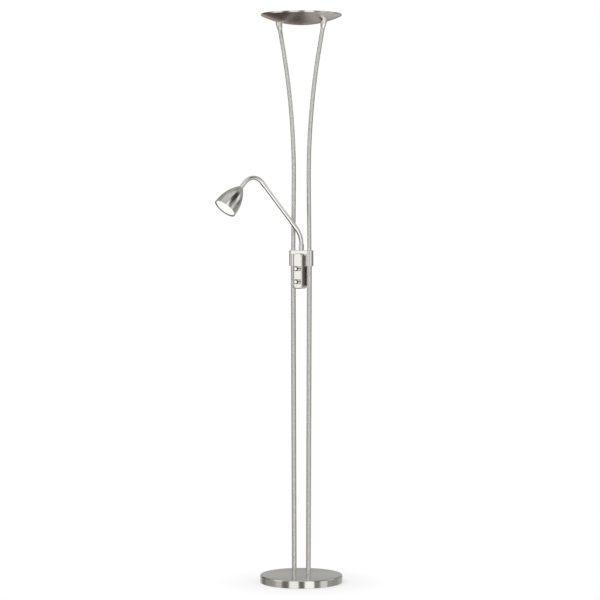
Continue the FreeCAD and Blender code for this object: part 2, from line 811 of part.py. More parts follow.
# ---------------------------------------------------------------- bracket
def make_bracket_body():
    """Two round sockets joined by a web, with a boss in front that carries the fascia."""
    body = block(-bracket_half, bracket_half, -bracket_web_half, bracket_web_half,
                 bracket_bottom_z, bracket_split_z)
    boss_half = housing_w / 2 - bracket_boss_inset
    body = body.fuse(block(-boss_half, boss_half, -bracket_end_r, bracket_end_r,
                           bracket_bottom_z, bracket_split_z))
    for side in SIDES.values():
        foot = V(side * bracket_half, 0, bracket_bottom_z)
        body = body.fuse(rod(bracket_end_r, foot, foot + UP * bracket_body_h))
    body = body.removeSplitter()
    for name, side in SIDES.items():
        body = body.cut(rod(lower_tube_r + fit_gap, lower_axis(side, bracket_bottom_z - foot_h),
                            lower_axis(side, lower_end_z + fit_gap)))
        body = body.cut(upper_bore(name, upper_tube_r + fit_gap))
        foot = V(side * bracket_half, 0, lower_end_z)
        body = body.cut(rod(lead_r + pocket_gap, foot, foot + UP * (upper_start_z - lower_end_z)))
    body = body.cut(disc(channel_r, 0, lamp_height))
    half_window = lead_r + lead_gap
    body = body.cut(block(-bracket_half, bracket_half, -half_window, half_window, lower_end_z, upper_start_z))
    for start, end in grub_lines():
        body = body.cut(rod(grub_r + fit_gap, start, end + V(0, 2 * grub_inset, 0)))
    for spot in clamp_screw_spots():
        body = body.cut(rod(clamp_screw_r + fit_gap, spot, spot + UP * bracket_body_h))
    return body


def upper_bore(name, radius):
    """A bore along the first straight run of an upper tube, through the bracket."""
    path = upper_paths[name]
    run = (path.bow_start - path.start).normalize()
    shape = rod(radius, path.start - run * bracket_body_h, path.start + run * 2 * bracket_body_h)
    reach = bracket_spacing
    return shape.common(block(-reach, reach, -reach, reach, upper_start_z, lamp_height))


def clamp_screw_spots():
    """The places of the screws that pull the housing, the body and the cap together."""
    return [V(side * clamp_screw_x, clamp_screw_y, bracket_bottom_z) for side in SIDES.values()]


def make_clamp_screws():
    screws = []
    for spot in clamp_screw_spots():
        seat = spot - UP * housing_wall
        head = rod(clamp_screw_head_r, seat - UP * clamp_screw_head_t, seat)
        shank = rod(clamp_screw_r, seat, spot + UP * (bracket_body_h + clamp_screw_reach))
        screws.append(solid(head.fuse(shank)))
    return Part.makeCompound(screws)


def grub_lines():
    """Start and end of each grub screw, pressed on the back of a tube in its socket."""
    lines = []
    low_z = bracket_bottom_z + socket_depth / 2
    high_z = bracket_split_z - upper_socket_depth / 2
    for side in SIDES.values():
        for z, tube_r in ((low_z, lower_tube_r), (high_z, upper_tube_r)):
            start = V(side * bracket_half, tube_r + fit_gap / 2, z)
            lines.append((start, V(start.x, bracket_end_r - grub_inset, z)))
    return lines


def make_grub_screws():
    return Part.makeCompound([rod(grub_r, start, end) for start, end in grub_lines()])


def make_bracket_cap():
    groove_top = bracket_split_z + bracket_groove_h
    cap = stadium(bracket_half, bracket_end_r, groove_top, bracket_top_z)
    top_edges = [e for e in cap.Edges if all(abs(v.Z - bracket_top_z) < 1e-6 for v in e.Vertexes)]
    cap = cap.makeFillet(cap_edge_r, top_edges)
    neck = stadium(bracket_half, bracket_end_r - bracket_groove_depth, bracket_split_z, groove_top)
    cap = cap.fuse(neck)
    for name in SIDES:
        cap = cap.cut(upper_bore(name, upper_tube_r + fit_gap))
    cap = cap.cut(disc(collar_stud_r + collar_running_gap, 0, lamp_height))
    nut_room = collar_nut_across / 2 / math.cos(math.radians(30)) + collar_gap
    cap = cap.cut(disc(nut_room, 0, bracket_split_z + collar_nut_t + 2 * collar_gap))
    for spot in clamp_screw_spots():
        top = V(spot.x, spot.y, bracket_split_z + clamp_screw_reach + clamp_hole_spare)
        cap = cap.cut(rod(clamp_screw_r + fit_gap, spot, top))
    return cap


# ---------------------------------------------------------------- dimmer housing
def make_fascia():
    """The front tray of the housing, with rounded corners and two holes for the dimmers."""
    depth = fascia_front - bracket_end_r
    tray = round_rect(housing_half, housing_bottom_z, housing_top_z, housing_corner_r, -fascia_front)
    tray = tray.extrude(V(0, depth, 0))
    front_edges = [e for e in tray.Edges if all(abs(v.Y + fascia_front) < 1e-6 for v in e.Vertexes)]
    tray = tray.makeFillet(housing_edge_r, front_edges)
    room = round_rect(inner_half, housing_bottom_z + housing_wall, housing_top_z - housing_wall,
                      inner_corner_r, -fascia_front + housing_wall).extrude(V(0, depth, 0))
    tray = tray.cut(room)
    for z in (knob_upper_z, knob_lower_z):
        tray = tray.cut(rod(bushing_r + fit_gap, V(0, -fascia_front - 1, z), V(0, 0, z)))
    return tray


def make_dimmer_box():
    """The rear box of the housing, which passes between the poles and hangs under the bracket."""
    depth = 2 * bracket_end_r
    box = round_rect(housing_half, housing_bottom_z, bracket_bottom_z, housing_corner_r, -bracket_end_r, 0)
    box = box.extrude(V(0, depth, 0))
    back_edges = [e for e in box.Edges
                  if all(abs(v.Y - bracket_end_r) < 1e-6 for v in e.Vertexes)
                  and not all(abs(v.Z - bracket_bottom_z) < 1e-6 for v in e.Vertexes)]
    box = box.makeFillet(housing_edge_r, back_edges)
    room = round_rect(inner_half, housing_bottom_z + housing_wall, bracket_bottom_z - housing_wall,
                      inner_corner_r, -bracket_end_r, 0)
    box = box.cut(room.extrude(V(0, depth - housing_wall, 0)))
    slot_bottom = housing_bottom_z + housing_corner_r + slot_margin
    slot_top = bracket_bottom_z - housing_wall - slot_margin
    box = box.cut(block(-foot_r, foot_r, -slot_front, slot_back, slot_bottom, slot_top))
    box = box.cut(disc(channel_r, bracket_bottom_z - 2 * housing_wall, lamp_height))
    for spot in clamp_screw_spots():
        box = box.cut(rod(clamp_screw_r + fit_gap, spot - UP * 2 * housing_wall, spot + UP))
    return box


def make_dimmer_carrier():
    """A black insulating liner in the box, seen through the side slots."""
    half = inner_half - carrier_gap
    bottom = housing_bottom_z + housing_wall + carrier_gap
    top = bracket_bottom_z - housing_wall - carrier_drop
    back = bracket_end_r - housing_wall - carrier_gap
    depth = back + bracket_end_r - carrier_gap
    liner = round_rect(half, bottom, top, inner_corner_r - carrier_gap, -bracket_end_r + carrier_gap, 0)
    liner = liner.extrude(V(0, depth, 0))
    room = round_rect(half - carrier_wall, bottom + carrier_wall, top + 1,
                      inner_corner_r - carrier_gap - carrier_wall, -bracket_end_r, 0)
    return liner.cut(room.extrude(V(0, back + bracket_end_r - carrier_wall, 0)))


def front_point(depth, z):
    """A point on the centre line of the housing, a depth behind the fascia's outer face."""
    return V(0, depth - fascia_front, z)


def make_dimmers():
    """Two equal dimmer modules with threaded bushings; their bodies hang lower than their spindles."""
    face = housing_wall
    half = dimmer_size / 2
    dimmers = []
    for z in (knob_upper_z, knob_lower_z):
        centre = z - spindle_offset
        body = block(-half.x, half.x, face - fascia_front, face - fascia_front + dimmer_size.y,
                     centre - half.z, centre + half.z)
        body = body.fuse(rod(bushing_r, front_point(face, z), front_point(face - bushing_length, z)))
        hole = rod(spindle_r + spindle_gap, front_point(spindle_inside + fit_gap, z),
                   front_point(-bushing_length, z))
        dimmers.append(solid(body.cut(hole)))
    return Part.makeCompound(dimmers)


def make_spindle(z):
    """The turning spindle, in the bushing's bore and the knob's hub."""
    return rod(spindle_r, front_point(spindle_inside, z), front_point(-spindle_outside, z))


def make_panel_nuts():
    nuts = []
    for z in (knob_upper_z, knob_lower_z):
        nut = hexagon(panel_nut_across, 0, panel_nut_t).cut(disc(bushing_r + fit_gap, -1, panel_nut_t + 1))
        nuts.append(placed(nut, front_point(0, z), V(0, -1, 0)))
    return Part.makeCompound(nuts)


def make_knob(z):
    """A hollow chrome knob with a rounded front edge, on a hub that grips the spindle."""
    outside = disc(knob_r, knob_gap, knob_length)
    rim = [e for e in outside.Edges if e.Closed and abs(e.Vertexes[0].Z - knob_length) < 1e-6]
    outside = outside.makeFillet(knob_round_r, rim)
    hub_start = bushing_length - housing_wall + knob_gap
    room = disc(knob_r - knob_wall, 0, hub_start)
    knob = outside.cut(room).cut(disc(spindle_r, 0, spindle_outside + fit_gap))
    knob = knob.cut(disc(spindle_r + fit_gap, 0, hub_start + 1))
    return placed(knob, front_point(0, z), V(0, -1, 0))


# ---------------------------------------------------------------- reading arm
def make_collar():
    """The swivel collar, its ball for the first sleeve, and its stud down through the cap."""
    seat = bracket_top_z + collar_gap
    top = arm.top_z
    first = arm.low_pivots[0]
    collar = disc(collar_r, seat, top)
    rims = [e for e in collar.Edges if e.Closed and abs(e.Vertexes[0].Z - top) < 1e-6]
    collar = collar.makeFillet(cap_edge_r, rims)
    collar = collar.fuse(disc(collar_stud_r, bracket_split_z + collar_gap, seat))
    stub = link((first - UP * top).Length, has_socket=False)
    collar = collar.fuse(placed(stub, V(0, 0, top), first - UP * top))
    return solid(collar.cut(rod(neck_bore_r, V(0, 0, 0), V(0, 0, top))))


def make_collar_nut():
    z0 = bracket_split_z + collar_gap
    nut = hexagon(collar_nut_across, z0, z0 + collar_nut_t)
    return nut.cut(disc(collar_stud_r, 0, lamp_height))


def make_sleeve(pivots, index):
    """The sleeve between two neighbouring pivots."""
    run = pivots[index + 1] - pivots[index]
    return placed(link(run.Length), pivots[index], run)


def make_arm_ferrule():
    """The long ferrule at the foot of the rigid tube, with the socket of the last lower ball."""
    start = arm.low_pivots[-1]
    body = link(arm_ferrule_length, radius=arm_ferrule_r, has_ball=False)
    body = body.cut(disc(arm_tube_r + fit_gap, arm_ferrule_seat, arm_ferrule_length + 1))
    return placed(body, start, arm.tube_run)


def arm_tube_ends():
    low = arm.low_pivots[-1] + arm.tube_run * (arm_ferrule_seat + fit_gap)
    high = arm.high_pivots[0] - arm.tube_run * (link_gap + end_ferrule_length - end_ferrule_seat)
    return low, high


def make_arm_tube():
    low, high = arm_tube_ends()
    bore = rod(arm_tube_r - arm_tube_wall, low - arm.tube_run, high + arm.tube_run)
    return rod(arm_tube_r, low, high).cut(bore)


def make_end_ferrule():
    """The ferrule at the head of the rigid tube, with the ball of the first upper sleeve."""
    start = arm.high_pivots[0] - arm.tube_run * (end_ferrule_length + link_gap)
    length = end_ferrule_length + link_gap
    body = link(length, radius=arm_ferrule_r, has_socket=False)
    body = body.cut(disc(arm_tube_r + fit_gap, -1, end_ferrule_seat + fit_gap))
    return placed(body, start, arm.tube_run)


def make_head_neck():
    """The neck of the head: the last socket, a shoulder on the shade and a stud inside it."""
    start = arm.high_pivots[-1]
    length = (arm.head - start).Length
    neck = link(length, has_ball=False)
    stud = disc(head_stud_r, length, length + socket_start + socket_floor_t + stud_proud)
    neck = neck.fuse(stud).cut(disc(neck_bore_r, 0, length * 2))
    return placed(solid(neck), start, arm.head_run)


# ---------------------------------------------------------------- reading head
socket_start = 2 * shade_wall + head_nut_t
lens_start = shade_length - lens_recess - lens_t


def bell_r(t):
    """The bell's outer radius at a distance t from its apex."""
    share = 1 - (1 - t / shade_length) ** shade_power
    return shade_neck_r + (shade_rim_r - shade_neck_r) * share


def bell_edge(inset, t0, t1):
    """A smooth edge along the bell, moved inwards."""
    count = 9
    points = []
    for i in range(count):
        t = t0 + (t1 - t0) * i / (count - 1)
        points.append(V(bell_r(t) - inset, 0, t))
    curve = Part.BSplineCurve()
    curve.interpolate(points)
    return curve.toShape(), points[0], points[-1]


def bell_shell(t0, t1, inset, wall):
    outer, outer_start, outer_end = bell_edge(inset, t0, t1)
    inner, inner_start, inner_end = bell_edge(inset + wall, t0, t1)
    edges = [outer, Part.makeLine(outer_end, inner_end), inner, Part.makeLine(inner_start, outer_start)]
    return spun_edges(edges)


def on_head(shape):
    return placed(shape, arm.head, arm.head_run)


def make_shade():
    shell = bell_shell(0, shade_length, 0, shade_wall)
    apex = disc(shade_neck_r, 0, 2 * shade_wall).cut(disc(head_stud_r + fit_gap, -1, shade_length))
    return on_head(solid(shell.fuse(apex)))


def make_head_nut():
    z0 = 2 * shade_wall
    nut = hexagon(head_nut_across, z0, z0 + head_nut_t)
    return on_head(nut.cut(disc(head_stud_r + fit_gap, 0, shade_length)))


def make_lamp_socket():
    t0 = socket_start
    body = disc(socket_r, t0, t0 + socket_length)
    body = body.makeFillet(socket_edge_r, [e for e in body.Edges if e.Closed])
    body = body.cut(disc(head_stud_r + fit_gap, 0, t0 + socket_floor_t + stud_proud + fit_gap))
    hole_start = t0 + socket_length - capsule_foot_length
    return on_head(body.cut(disc(capsule_foot_r + fit_gap, hole_start, shade_length)))


def make_capsule():
    """The small glass lamp, its foot in the socket."""
    t1 = socket_start + socket_length + fit_gap
    foot = disc(capsule_foot_r, t1 - capsule_foot_length, t1)
    glass = disc(capsule_r, t1, t1 + capsule_length)
    ends = [e for e in glass.Edges if e.Closed and e.Vertexes[0].Z > t1 + 1]
    glass = glass.makeFillet(capsule_round_r, ends)
    return on_head(solid(foot.fuse(glass)))


def make_reflector():
    return on_head(bell_shell(liner_start, lens_start - fit_gap, shade_wall + liner_gap, liner_wall))


def make_lens():
    radius = bell_r(lens_start) - shade_wall - fit_gap
    glass = disc(radius, lens_start, lens_start + lens_t)
    rims = [e for e in glass.Edges if e.Closed]
    return on_head(glass.makeFillet(lens_edge_r, rims))


def make_rim_ring():
    """The sprung ring that holds the lens, just inside the shade's rim."""
    t0 = lens_start + lens_t
    outer_r = bell_r(t0) - shade_wall - fit_gap
    ring = disc(outer_r, t0, t0 + rim_ring_t)
    return on_head(ring.cut(disc(outer_r - rim_ring_width, 0, shade_length)))


# ---------------------------------------------------------------- the assembly
nodes = {
    "foot_cover": make_foot_cover(),
    "foot_weight": make_foot_weight(),
    "bottom_plate": make_bottom_plate(),
    "plate_screws": make_plate_screws(),
    "foot_pad": make_foot_pad(),
    "foot_washers": make_foot_washers(),
    "foot_studs": make_foot_studs(),
    "pole_nuts": make_pole_nuts(),
    "cord_gland": make_cord_gland(),
    "terminal_block": make_terminal_block(),
    "pole_leads": Part.makeCompound([solid(make_supply_lead()), solid(make_lamp_lead())]),
    "pole_ferrules": Part.makeCompound([solid(make_pole_ferrule(path)) for path in upper_paths.values()]),
    "bowl_studs": make_bowl_studs(),
    "bowl_shell": make_bowl_shell(),
    "bowl_plate": make_bowl_plate(),
    "reflector_trough": make_trough(),
    "lamp_holders": make_lamp_holders(),
    "tube_lamp": make_tube_lamp(),
    "tube_lamp_ends": make_tube_lamp_ends(),
    "glass_shield": make_glass_shield(),
    "shield_clips": make_shield_clips(),
    "clip_screws": make_clip_screws(),
    "bracket_body": make_bracket_body(),
    "bracket_cap": make_bracket_cap(),
    "clamp_screws": make_clamp_screws(),
    "grub_screws": make_grub_screws(),
    "fascia": make_fascia(),
    "dimmer_box": make_dimmer_box(),
    "dimmer_carrier": make_dimmer_carrier(),
    "dimmers": make_dimmers(),
    "panel_nuts": make_panel_nuts(),
    "arm_collar": make_collar(),
    "collar_nut": make_collar_nut(),
    "arm_ferrule": make_arm_ferrule(),
    "arm_tube": make_arm_tube(),
    "end_ferrule": make_end_ferrule(),
    "head_neck": make_head_neck(),
    "shade": make_shade(),
    "head_nut": make_head_nut(),
    "lamp_socket": make_lamp_socket(),
    "capsule_lamp": make_capsule(),
    "head_reflector": make_reflector(),
    "lens": make_lens(),
    "rim_ring": make_rim_ring(),
}
for name, side in SIDES.items():
    nodes["lower_tube_" + name] = make_lower_tube(side)
    nodes["upper_tube_" + name] = make_upper_tube(name)
for name, z in {"upper": knob_upper_z, "lower": knob_lower_z}.items():
    nodes[name + "_spindle"] = make_spindle(z)
    nodes[name + "_knob"] = make_knob(z)
for index in range(lower_joints - 1):
    nodes["lower_sleeve_%d" % (index + 1)] = make_sleeve(arm.low_pivots, index)
for index in range(upper_joints - 1):
    nodes["upper_sleeve_%d" % (index + 1)] = make_sleeve(arm.high_pivots, index)

os.makedirs("parts", exist_ok=True)
for node, shape in nodes.items():
    solid(shape).exportStep("parts/%s.step" % node)
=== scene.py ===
"""A two-pole floor lamp with an uplighter bowl and a reading arm: its visible pieces, finishes and studio."""

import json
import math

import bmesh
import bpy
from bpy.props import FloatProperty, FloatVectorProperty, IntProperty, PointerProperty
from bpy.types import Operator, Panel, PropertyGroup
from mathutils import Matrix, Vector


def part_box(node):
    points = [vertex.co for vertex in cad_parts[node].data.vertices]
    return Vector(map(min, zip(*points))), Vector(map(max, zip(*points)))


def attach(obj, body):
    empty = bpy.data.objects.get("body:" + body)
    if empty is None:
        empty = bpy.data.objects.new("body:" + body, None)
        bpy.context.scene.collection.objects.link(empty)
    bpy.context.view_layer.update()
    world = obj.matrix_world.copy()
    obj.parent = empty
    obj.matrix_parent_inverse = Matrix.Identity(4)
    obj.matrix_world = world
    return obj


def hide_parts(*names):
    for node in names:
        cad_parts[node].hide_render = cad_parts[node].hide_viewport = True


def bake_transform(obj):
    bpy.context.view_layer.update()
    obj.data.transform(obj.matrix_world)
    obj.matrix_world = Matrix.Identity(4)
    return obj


bl_info = {
    "name": "Two-Pole Uplighter With Reading Arm",
    "version": (1, 0, 0),
    "blender": (4, 5, 0),
    "location": "View3D > Sidebar > Floor Lamp",
    "description": "Builds the turned, drawn and flexible pieces of a floor lamp, its finishes and its studio",
    "category": "Add Mesh",
}

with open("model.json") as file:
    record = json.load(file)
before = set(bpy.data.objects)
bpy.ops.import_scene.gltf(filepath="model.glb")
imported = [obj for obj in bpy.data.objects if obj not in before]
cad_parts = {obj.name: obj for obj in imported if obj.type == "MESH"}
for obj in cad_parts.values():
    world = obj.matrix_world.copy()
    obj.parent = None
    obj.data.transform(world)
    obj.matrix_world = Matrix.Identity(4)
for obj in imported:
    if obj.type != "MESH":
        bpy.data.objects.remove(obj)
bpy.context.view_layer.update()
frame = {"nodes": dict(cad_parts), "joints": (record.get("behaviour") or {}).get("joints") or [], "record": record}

UP = Vector((0, 0, 1))
FRONT = Vector((0, -1, 0))
BACK = -FRONT
SIDES = {"left": -1, "right": 1}
JOINTS = {joint["name"]: joint for joint in frame["joints"]}
IMAGE_SIZE = 600
TURNED = "turned"
GROOVES = "grooves"
FINISH = " finish"
SMOOTH_ANGLE = math.radians(32)
WELD = 1e-6
ROUND_STEPS = 48
THIN_EDGE = 0.45  # rounding of a thin wall's edge, as a share of the wall
WORN = 0.95  # how much of a plated colour is left where it is brushed or wiped


# ---------------------------------------------------------------- sizes, colours and studio settings
def length(name, description, default):
    """A length in metres that shows in the user's own units."""
    return FloatProperty(name=name, description=description, default=default, min=0.0, unit="LENGTH")


def slot_colour(slot):
    """The colour that the part's record gives a finish."""
    for material in frame["record"]["materials"]:
        if material["slot"] == slot:
            return tuple(material["base_color"][:3])
    raise ValueError("The record has no finish named " + slot)


def colour(name, description, default):
    return FloatVectorProperty(name=name, description=description, default=default, size=3,
                               min=0.0, max=1.0, subtype="COLOR")


class LampSizes(PropertyGroup):
    """Walls, radii and edges of the pieces. Their places come from the frame."""

    foot_edge: length("Foot edge", "Radius of the rolled edge round the top of the foot", 0.004)
    foot_wall: length("Foot wall", "Thickness of the foot's pressed cover", 0.0015)
    lower_tube_radius: length("Lower pole radius", "Outside radius of the two lower tubes", 0.0075)
    lower_tube_wall: length("Lower pole wall", "Wall of the two lower tubes", 0.0015)
    upper_tube_radius: length("Upper pole radius", "Outside radius of the two bowed tubes", 0.0065)
    upper_tube_wall: length("Upper pole wall", "Wall of the two bowed tubes", 0.0012)
    waist_height: length("Waist height", "Height at which the bowed tubes come nearest", 1.285)
    waist_spacing: length("Waist spacing", "Distance between the bowed tubes at the waist", 0.0582)
    bowl_spacing: length("Bowl spacing", "Distance between the places where the tubes meet the bowl",
                         0.17786)
    pole_top_run: length("Pole top run", "Length of a tube's straight run under the bowl", 0.0944)
    ferrule_radius: length("Ferrule radius", "Radius of the chrome ferrules under the bowl", 0.0098)
    ferrule_cone: length("Ferrule cone", "Length of the tapered part of a bowl ferrule", 0.016)
    ferrule_rim: length("Ferrule rim", "Length of the straight part of a bowl ferrule", 0.011)
    bowl_wall: length("Bowl wall", "Thickness of the spun bowl", 0.0012)
    bowl_lip: length("Bowl lip", "Height of the upright lip round the bowl", 0.005)
    bracket_end: length("Bracket end radius", "Radius of the bracket's round ends", 0.0125)
    bracket_web: length("Bracket web", "Half the depth of the web between the round ends", 0.0085)
    bracket_boss: length("Bracket boss", "Half the width of the boss behind the dimmer housing", 0.015)
    bracket_edge: length("Bracket edge", "Radius of the bracket's outer edges", 0.0007)
    bracket_groove: length("Bracket groove", "Height and depth of the groove under the cap", 0.0012)
    collar_radius: length("Collar radius", "Radius of the swivel collar of the reading arm", 0.008)
    neck_radius: length("Neck radius", "Outside radius of the flexible necks", 0.00675)
    neck_wall: length("Neck wall", "Wall of the flexible necks", 0.0002)
    neck_rib: length("Neck rib", "Distance between the turns of the wound necks", 0.0023)
    neck_rib_depth: length("Neck rib depth", "Depth of the groove between two turns", 0.00014)
    arm_ferrule_radius: length("Arm ferrule radius", "Radius of the ferrules on the arm's rigid tube", 0.0073)
    arm_ferrule_length: length("Arm ferrule length", "Length of the ferrule at the foot of the rigid tube",
                               0.026)
    end_ferrule_length: length("End ferrule length", "Length of the ferrule at the head of the rigid tube",
                               0.015)
    arm_tube_radius: length("Arm tube radius", "Radius of the arm's rigid tube", 0.0063)
    arm_tube_wall: length("Arm tube wall", "Wall of the arm's rigid tube", 0.001)
    shade_length: length("Shade length", "Length of the bell shade along its axis", 0.088)
    shade_rim: length("Shade rim", "Outside radius of the bell shade at its rim", 0.0372)
    shade_neck: length("Shade neck", "Outside radius of the bell shade at its neck", 0.0076)
    shade_wall: length("Shade wall", "Thickness of the bell shade", 0.0009)
    shade_fullness: FloatProperty(name="Shade fullness", description="How quickly the bell widens",
                                  default=2.25, min=1.0, max=6.0)
    knob_radius: length("Knob radius", "Radius of the two dimmer knobs", 0.00775)
    knob_length: length("Knob length", "Height of a knob over the housing", 0.0115)
    knob_edge: length("Knob edge", "Radius of a knob's front edge", 0.0016)
    # Radius at which the painted dark reflection ring on a knob's face begins.
    knob_middle: length("Knob middle", "Radius of the bright middle of a knob's face", 0.0052)


class LampFinish(PropertyGroup):
    """Colours of the plated metals, the lens, the enamel and the painted dark reflection ring of the knobs. The
    other finishes take theirs from the record.
    """

    nickel: colour("Brushed nickel", "Satin plate of the foot, poles, bowl and shade",
                   (0.69, 0.68, 0.66))
    casting: colour("Bracket nickel", "Satin plate of the bracket", (0.74, 0.73, 0.71))
    housing: colour("Housing nickel", "Satin plate of the dimmer housing", (0.77, 0.76, 0.74))
    chrome: colour("Chrome", "Polished plate of the arm, ferrules and knobs", (0.80, 0.80, 0.79))
    # Painted reflection: this dark colour is painted as a ring on each knob's face, standing in for dark
    # surroundings mirrored in the chrome.
    knob_ring: colour("Knob ring", "Dark ring round the bright middle of a knob", (0.05, 0.05, 0.05))
    lens: colour("Lens", "Diffusing lens of the reading head", (0.96, 0.95, 0.93))
    enamel: colour("White enamel", "Inside of the bowl and of the reading head", slot_colour("white_enamel"))


class StudioSettings(PropertyGroup):
    """Camera, light and floor."""

    camera_azimuth: FloatProperty(name="Camera azimuth", description="Turn of the camera from the front",
                                  default=math.radians(36), subtype="ANGLE", unit="ROTATION")
    camera_distance: length("Camera distance", "Level distance from the camera to the lamp's axis", 6.9)
    camera_height: length("Camera height", "Height of the lens over the floor", 1.1507)
    view_width: length("View width", "Width of the picture at the lamp's axis", 1.9014)
    horizon_row: FloatProperty(name="Horizon row", description="Picture row of the horizon, in pixels",
                               default=219.0)
    axis_column: FloatProperty(name="Axis column", description="Picture column of the lamp's axis, in pixels",
                               default=301.3)
    fill_level: FloatProperty(name="Fill level", description="Even light from all round", default=0.7,
                              min=0.0)
    mirror_level: FloatProperty(name="Mirror level", description="Brightness of the room that metal reflects",
                                default=1.45, min=0.0)
    key_power: FloatProperty(name="Key power", description="Power of the soft key lamp", default=40.0,
                             min=0.0, subtype="POWER", unit="POWER")
    key_size: length("Key size", "Diameter of the soft key lamp", 1.6)
    key_turn: FloatProperty(name="Key turn", description="Turn of the key lamp to the left of the camera",
                            default=math.radians(50), subtype="ANGLE", unit="ROTATION")
    key_distance: length("Key distance", "Level distance from the key lamp to the lamp's axis", 2.6)
    key_height: length("Key height", "Height of the key lamp over the floor", 2.9)
    key_aim: length("Key aim", "Height on the lamp's axis that the key lamp faces", 0.9)
    floor_radius: length("Floor radius", "Radius of the pale floor", 12.0)
    shadow_full: length("Full shadow", "Distance from the axis within which the floor shows its shadow",
                        0.12)
    shadow_end: length("Shadow end", "Distance from the axis where the floor has turned white", 0.3)
    shadow_share: FloatProperty(name="Shadow share", description="How much of its shadow the floor shows",
                                default=0.4, min=0.0, max=1.0)


# ---------------------------------------------------------------- mesh helpers
def frame_to(origin, direction):
    """The transform that lays +Z along a direction, with its own Y kept near the lamp's back."""
    z = Vector(direction).normalized()
    x = BACK.cross(z)
    x = x.normalized() if x.length > 1e-6 else z.orthogonal().normalized()
    y = z.cross(x)
    turn = Matrix((x, y, z)).transposed().to_4x4()
    return Matrix.Translation(origin) @ turn


def verts_of(geometry):
    return [g for g in geometry if isinstance(g, bmesh.types.BMVert)]


def edges_of(geometry):
    return [g for g in geometry if isinstance(g, bmesh.types.BMEdge)]


def mark_surface(bm, unturn, grooves):
    """Keep on each vertex its place on the straightened piece and the way the brushing runs."""
    place = bm.verts.layers.float_vector.get(TURNED) or bm.verts.layers.float_vector.new(TURNED)
    run = bm.verts.layers.float_vector.get(GROOVES) or bm.verts.layers.float_vector.new(GROOVES)
    for v in bm.verts:
        v[place] = unturn(v.co)
        v[run] = grooves(v.co)


def spun(bm, geometry, centre, axis, angle, steps, merge=False):
    """Spin vertices and edges about an axis and return the geometry at the end."""
    return bmesh.ops.spin(bm, geom=geometry, cent=centre, axis=axis, dvec=(0, 0, 0), angle=angle, steps=steps,
                          use_merge=merge, use_normal_flip=False, use_duplicate=False)["geom_last"]


def add_object(name, data):
    made = bpy.data.objects.new(name, data)
    bpy.context.scene.collection.objects.link(made)
    return made


def finish_piece(bm, name, body, slot, replaces=(), finish=None):
    """Close the seams, face everything outwards, give the piece its finish and hang it on its body."""
    bmesh.ops.remove_doubles(bm, verts=bm.verts, dist=WELD)
    bmesh.ops.recalc_face_normals(bm, faces=bm.faces)
    mesh = bpy.data.meshes.new(name)
    bm.to_mesh(mesh)
    bm.free()
    mesh.polygons.foreach_set("use_smooth", [True] * len(mesh.polygons))
    mesh.set_sharp_from_angle(angle=SMOOTH_ANGLE)
    mesh.materials.append(finish_of(finish or slot))
    piece = add_object(name, mesh)
    piece.modifiers.new("Even shading", "WEIGHTED_NORMAL").keep_sharp = True
    if body:
        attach(piece, body)
    if replaces:
        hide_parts(*replaces)
    return piece


class Outline:
    """A closed outline of radius and height, drawn corner by corner, rounded and turned about Z."""

    def __init__(self, radius, height):
        self.bm = bmesh.new()
        self.first = self.last = self.bm.verts.new((radius, 0, height))
        self.rounds = []

    def to(self, radius, height, rounding=0.0, segments=4):
        """A straight line to the next corner, which may be rounded."""
        corner = self.bm.verts.new((radius, 0, height))
        self.bm.edges.new((self.last, corner))
        self.last = corner
        if rounding:
            self.rounds.append((corner, rounding, segments))
        return self

    def arc(self, centre_radius, centre_height, angle, steps):
        """An arc about a centre. A positive angle turns from +Z towards +X."""
        made = spun(self.bm, [self.last], (centre_radius, 0, centre_height), (0, 1, 0), angle, steps)
        self.last = verts_of(made)[0]
        return self

    def line(self, radius, height, depth, flat):
        """A shallow line turned into the side."""
        self.to(radius, height).to(radius - depth, height + depth)
        return self.to(radius - depth, height + depth + flat).to(radius, height + 2 * depth + flat)

    def turned(self, steps, start_angle=0.0):
        """Close the outline, round its corners and spin it into a solid of revolution."""
        bm = self.bm
        bm.edges.new((self.last, self.first))
        for corner, rounding, segments in self.rounds:
            bmesh.ops.bevel(bm, geom=[corner], offset=rounding, offset_type="OFFSET", segments=segments,
                            profile=0.5, affect="VERTICES", material=-1)
        bmesh.ops.rotate(bm, verts=bm.verts, cent=(0, 0, 0), matrix=Matrix.Rotation(start_angle, 3, "Z"))
        spun(bm, bm.verts[:] + bm.edges[:], (0, 0, 0), UP, math.tau, steps, merge=True)
        bmesh.ops.remove_doubles(bm, verts=bm.verts, dist=WELD)
        return bm


def place_turned(bm, origin=(0, 0, 0), direction=UP):
    """Mark a turned piece's own surface, then lay it along its axis."""
    move = frame_to(Vector(origin), direction)
    turn = move.to_3x3()
    mark_surface(bm, lambda co: co.copy(), lambda co: turn @ UP.cross(co))
    bmesh.ops.transform(bm, matrix=move, verts=bm.verts)
    return bm


def ring(bm, radius, segments, origin, direction):
    """An open circle of edges square to a direction."""
    made = bmesh.ops.create_circle(bm, cap_ends=False, segments=segments, radius=radius,
                                   matrix=frame_to(origin, direction))
    return list(dict.fromkeys(e for v in made["verts"] for e in v.link_edges))


def run_on(bm, edges, step):
    """Extrude an open ring straight on and return the ring at its end."""
    made = bmesh.ops.extrude_edge_only(bm, edges=edges)["geom"]
    bmesh.ops.translate(bm, verts=verts_of(made), vec=step)
    return edges_of(made)


def bend_on(bm, edges, centre, axis, angle, steps):
    """Spin an open ring round a bend and return the ring at its end."""
    verts = list(dict.fromkeys(v for e in edges for v in e.verts))
    made = spun(bm, verts + edges, centre, axis, angle, steps)
    return verts_of(made), edges_of(made)


def give_wall(bm, wall):
    """Turn an open tube into a closed one with a bore."""
    bmesh.ops.recalc_face_normals(bm, faces=bm.faces)
    bmesh.ops.solidify(bm, geom=bm.faces[:], thickness=wall)


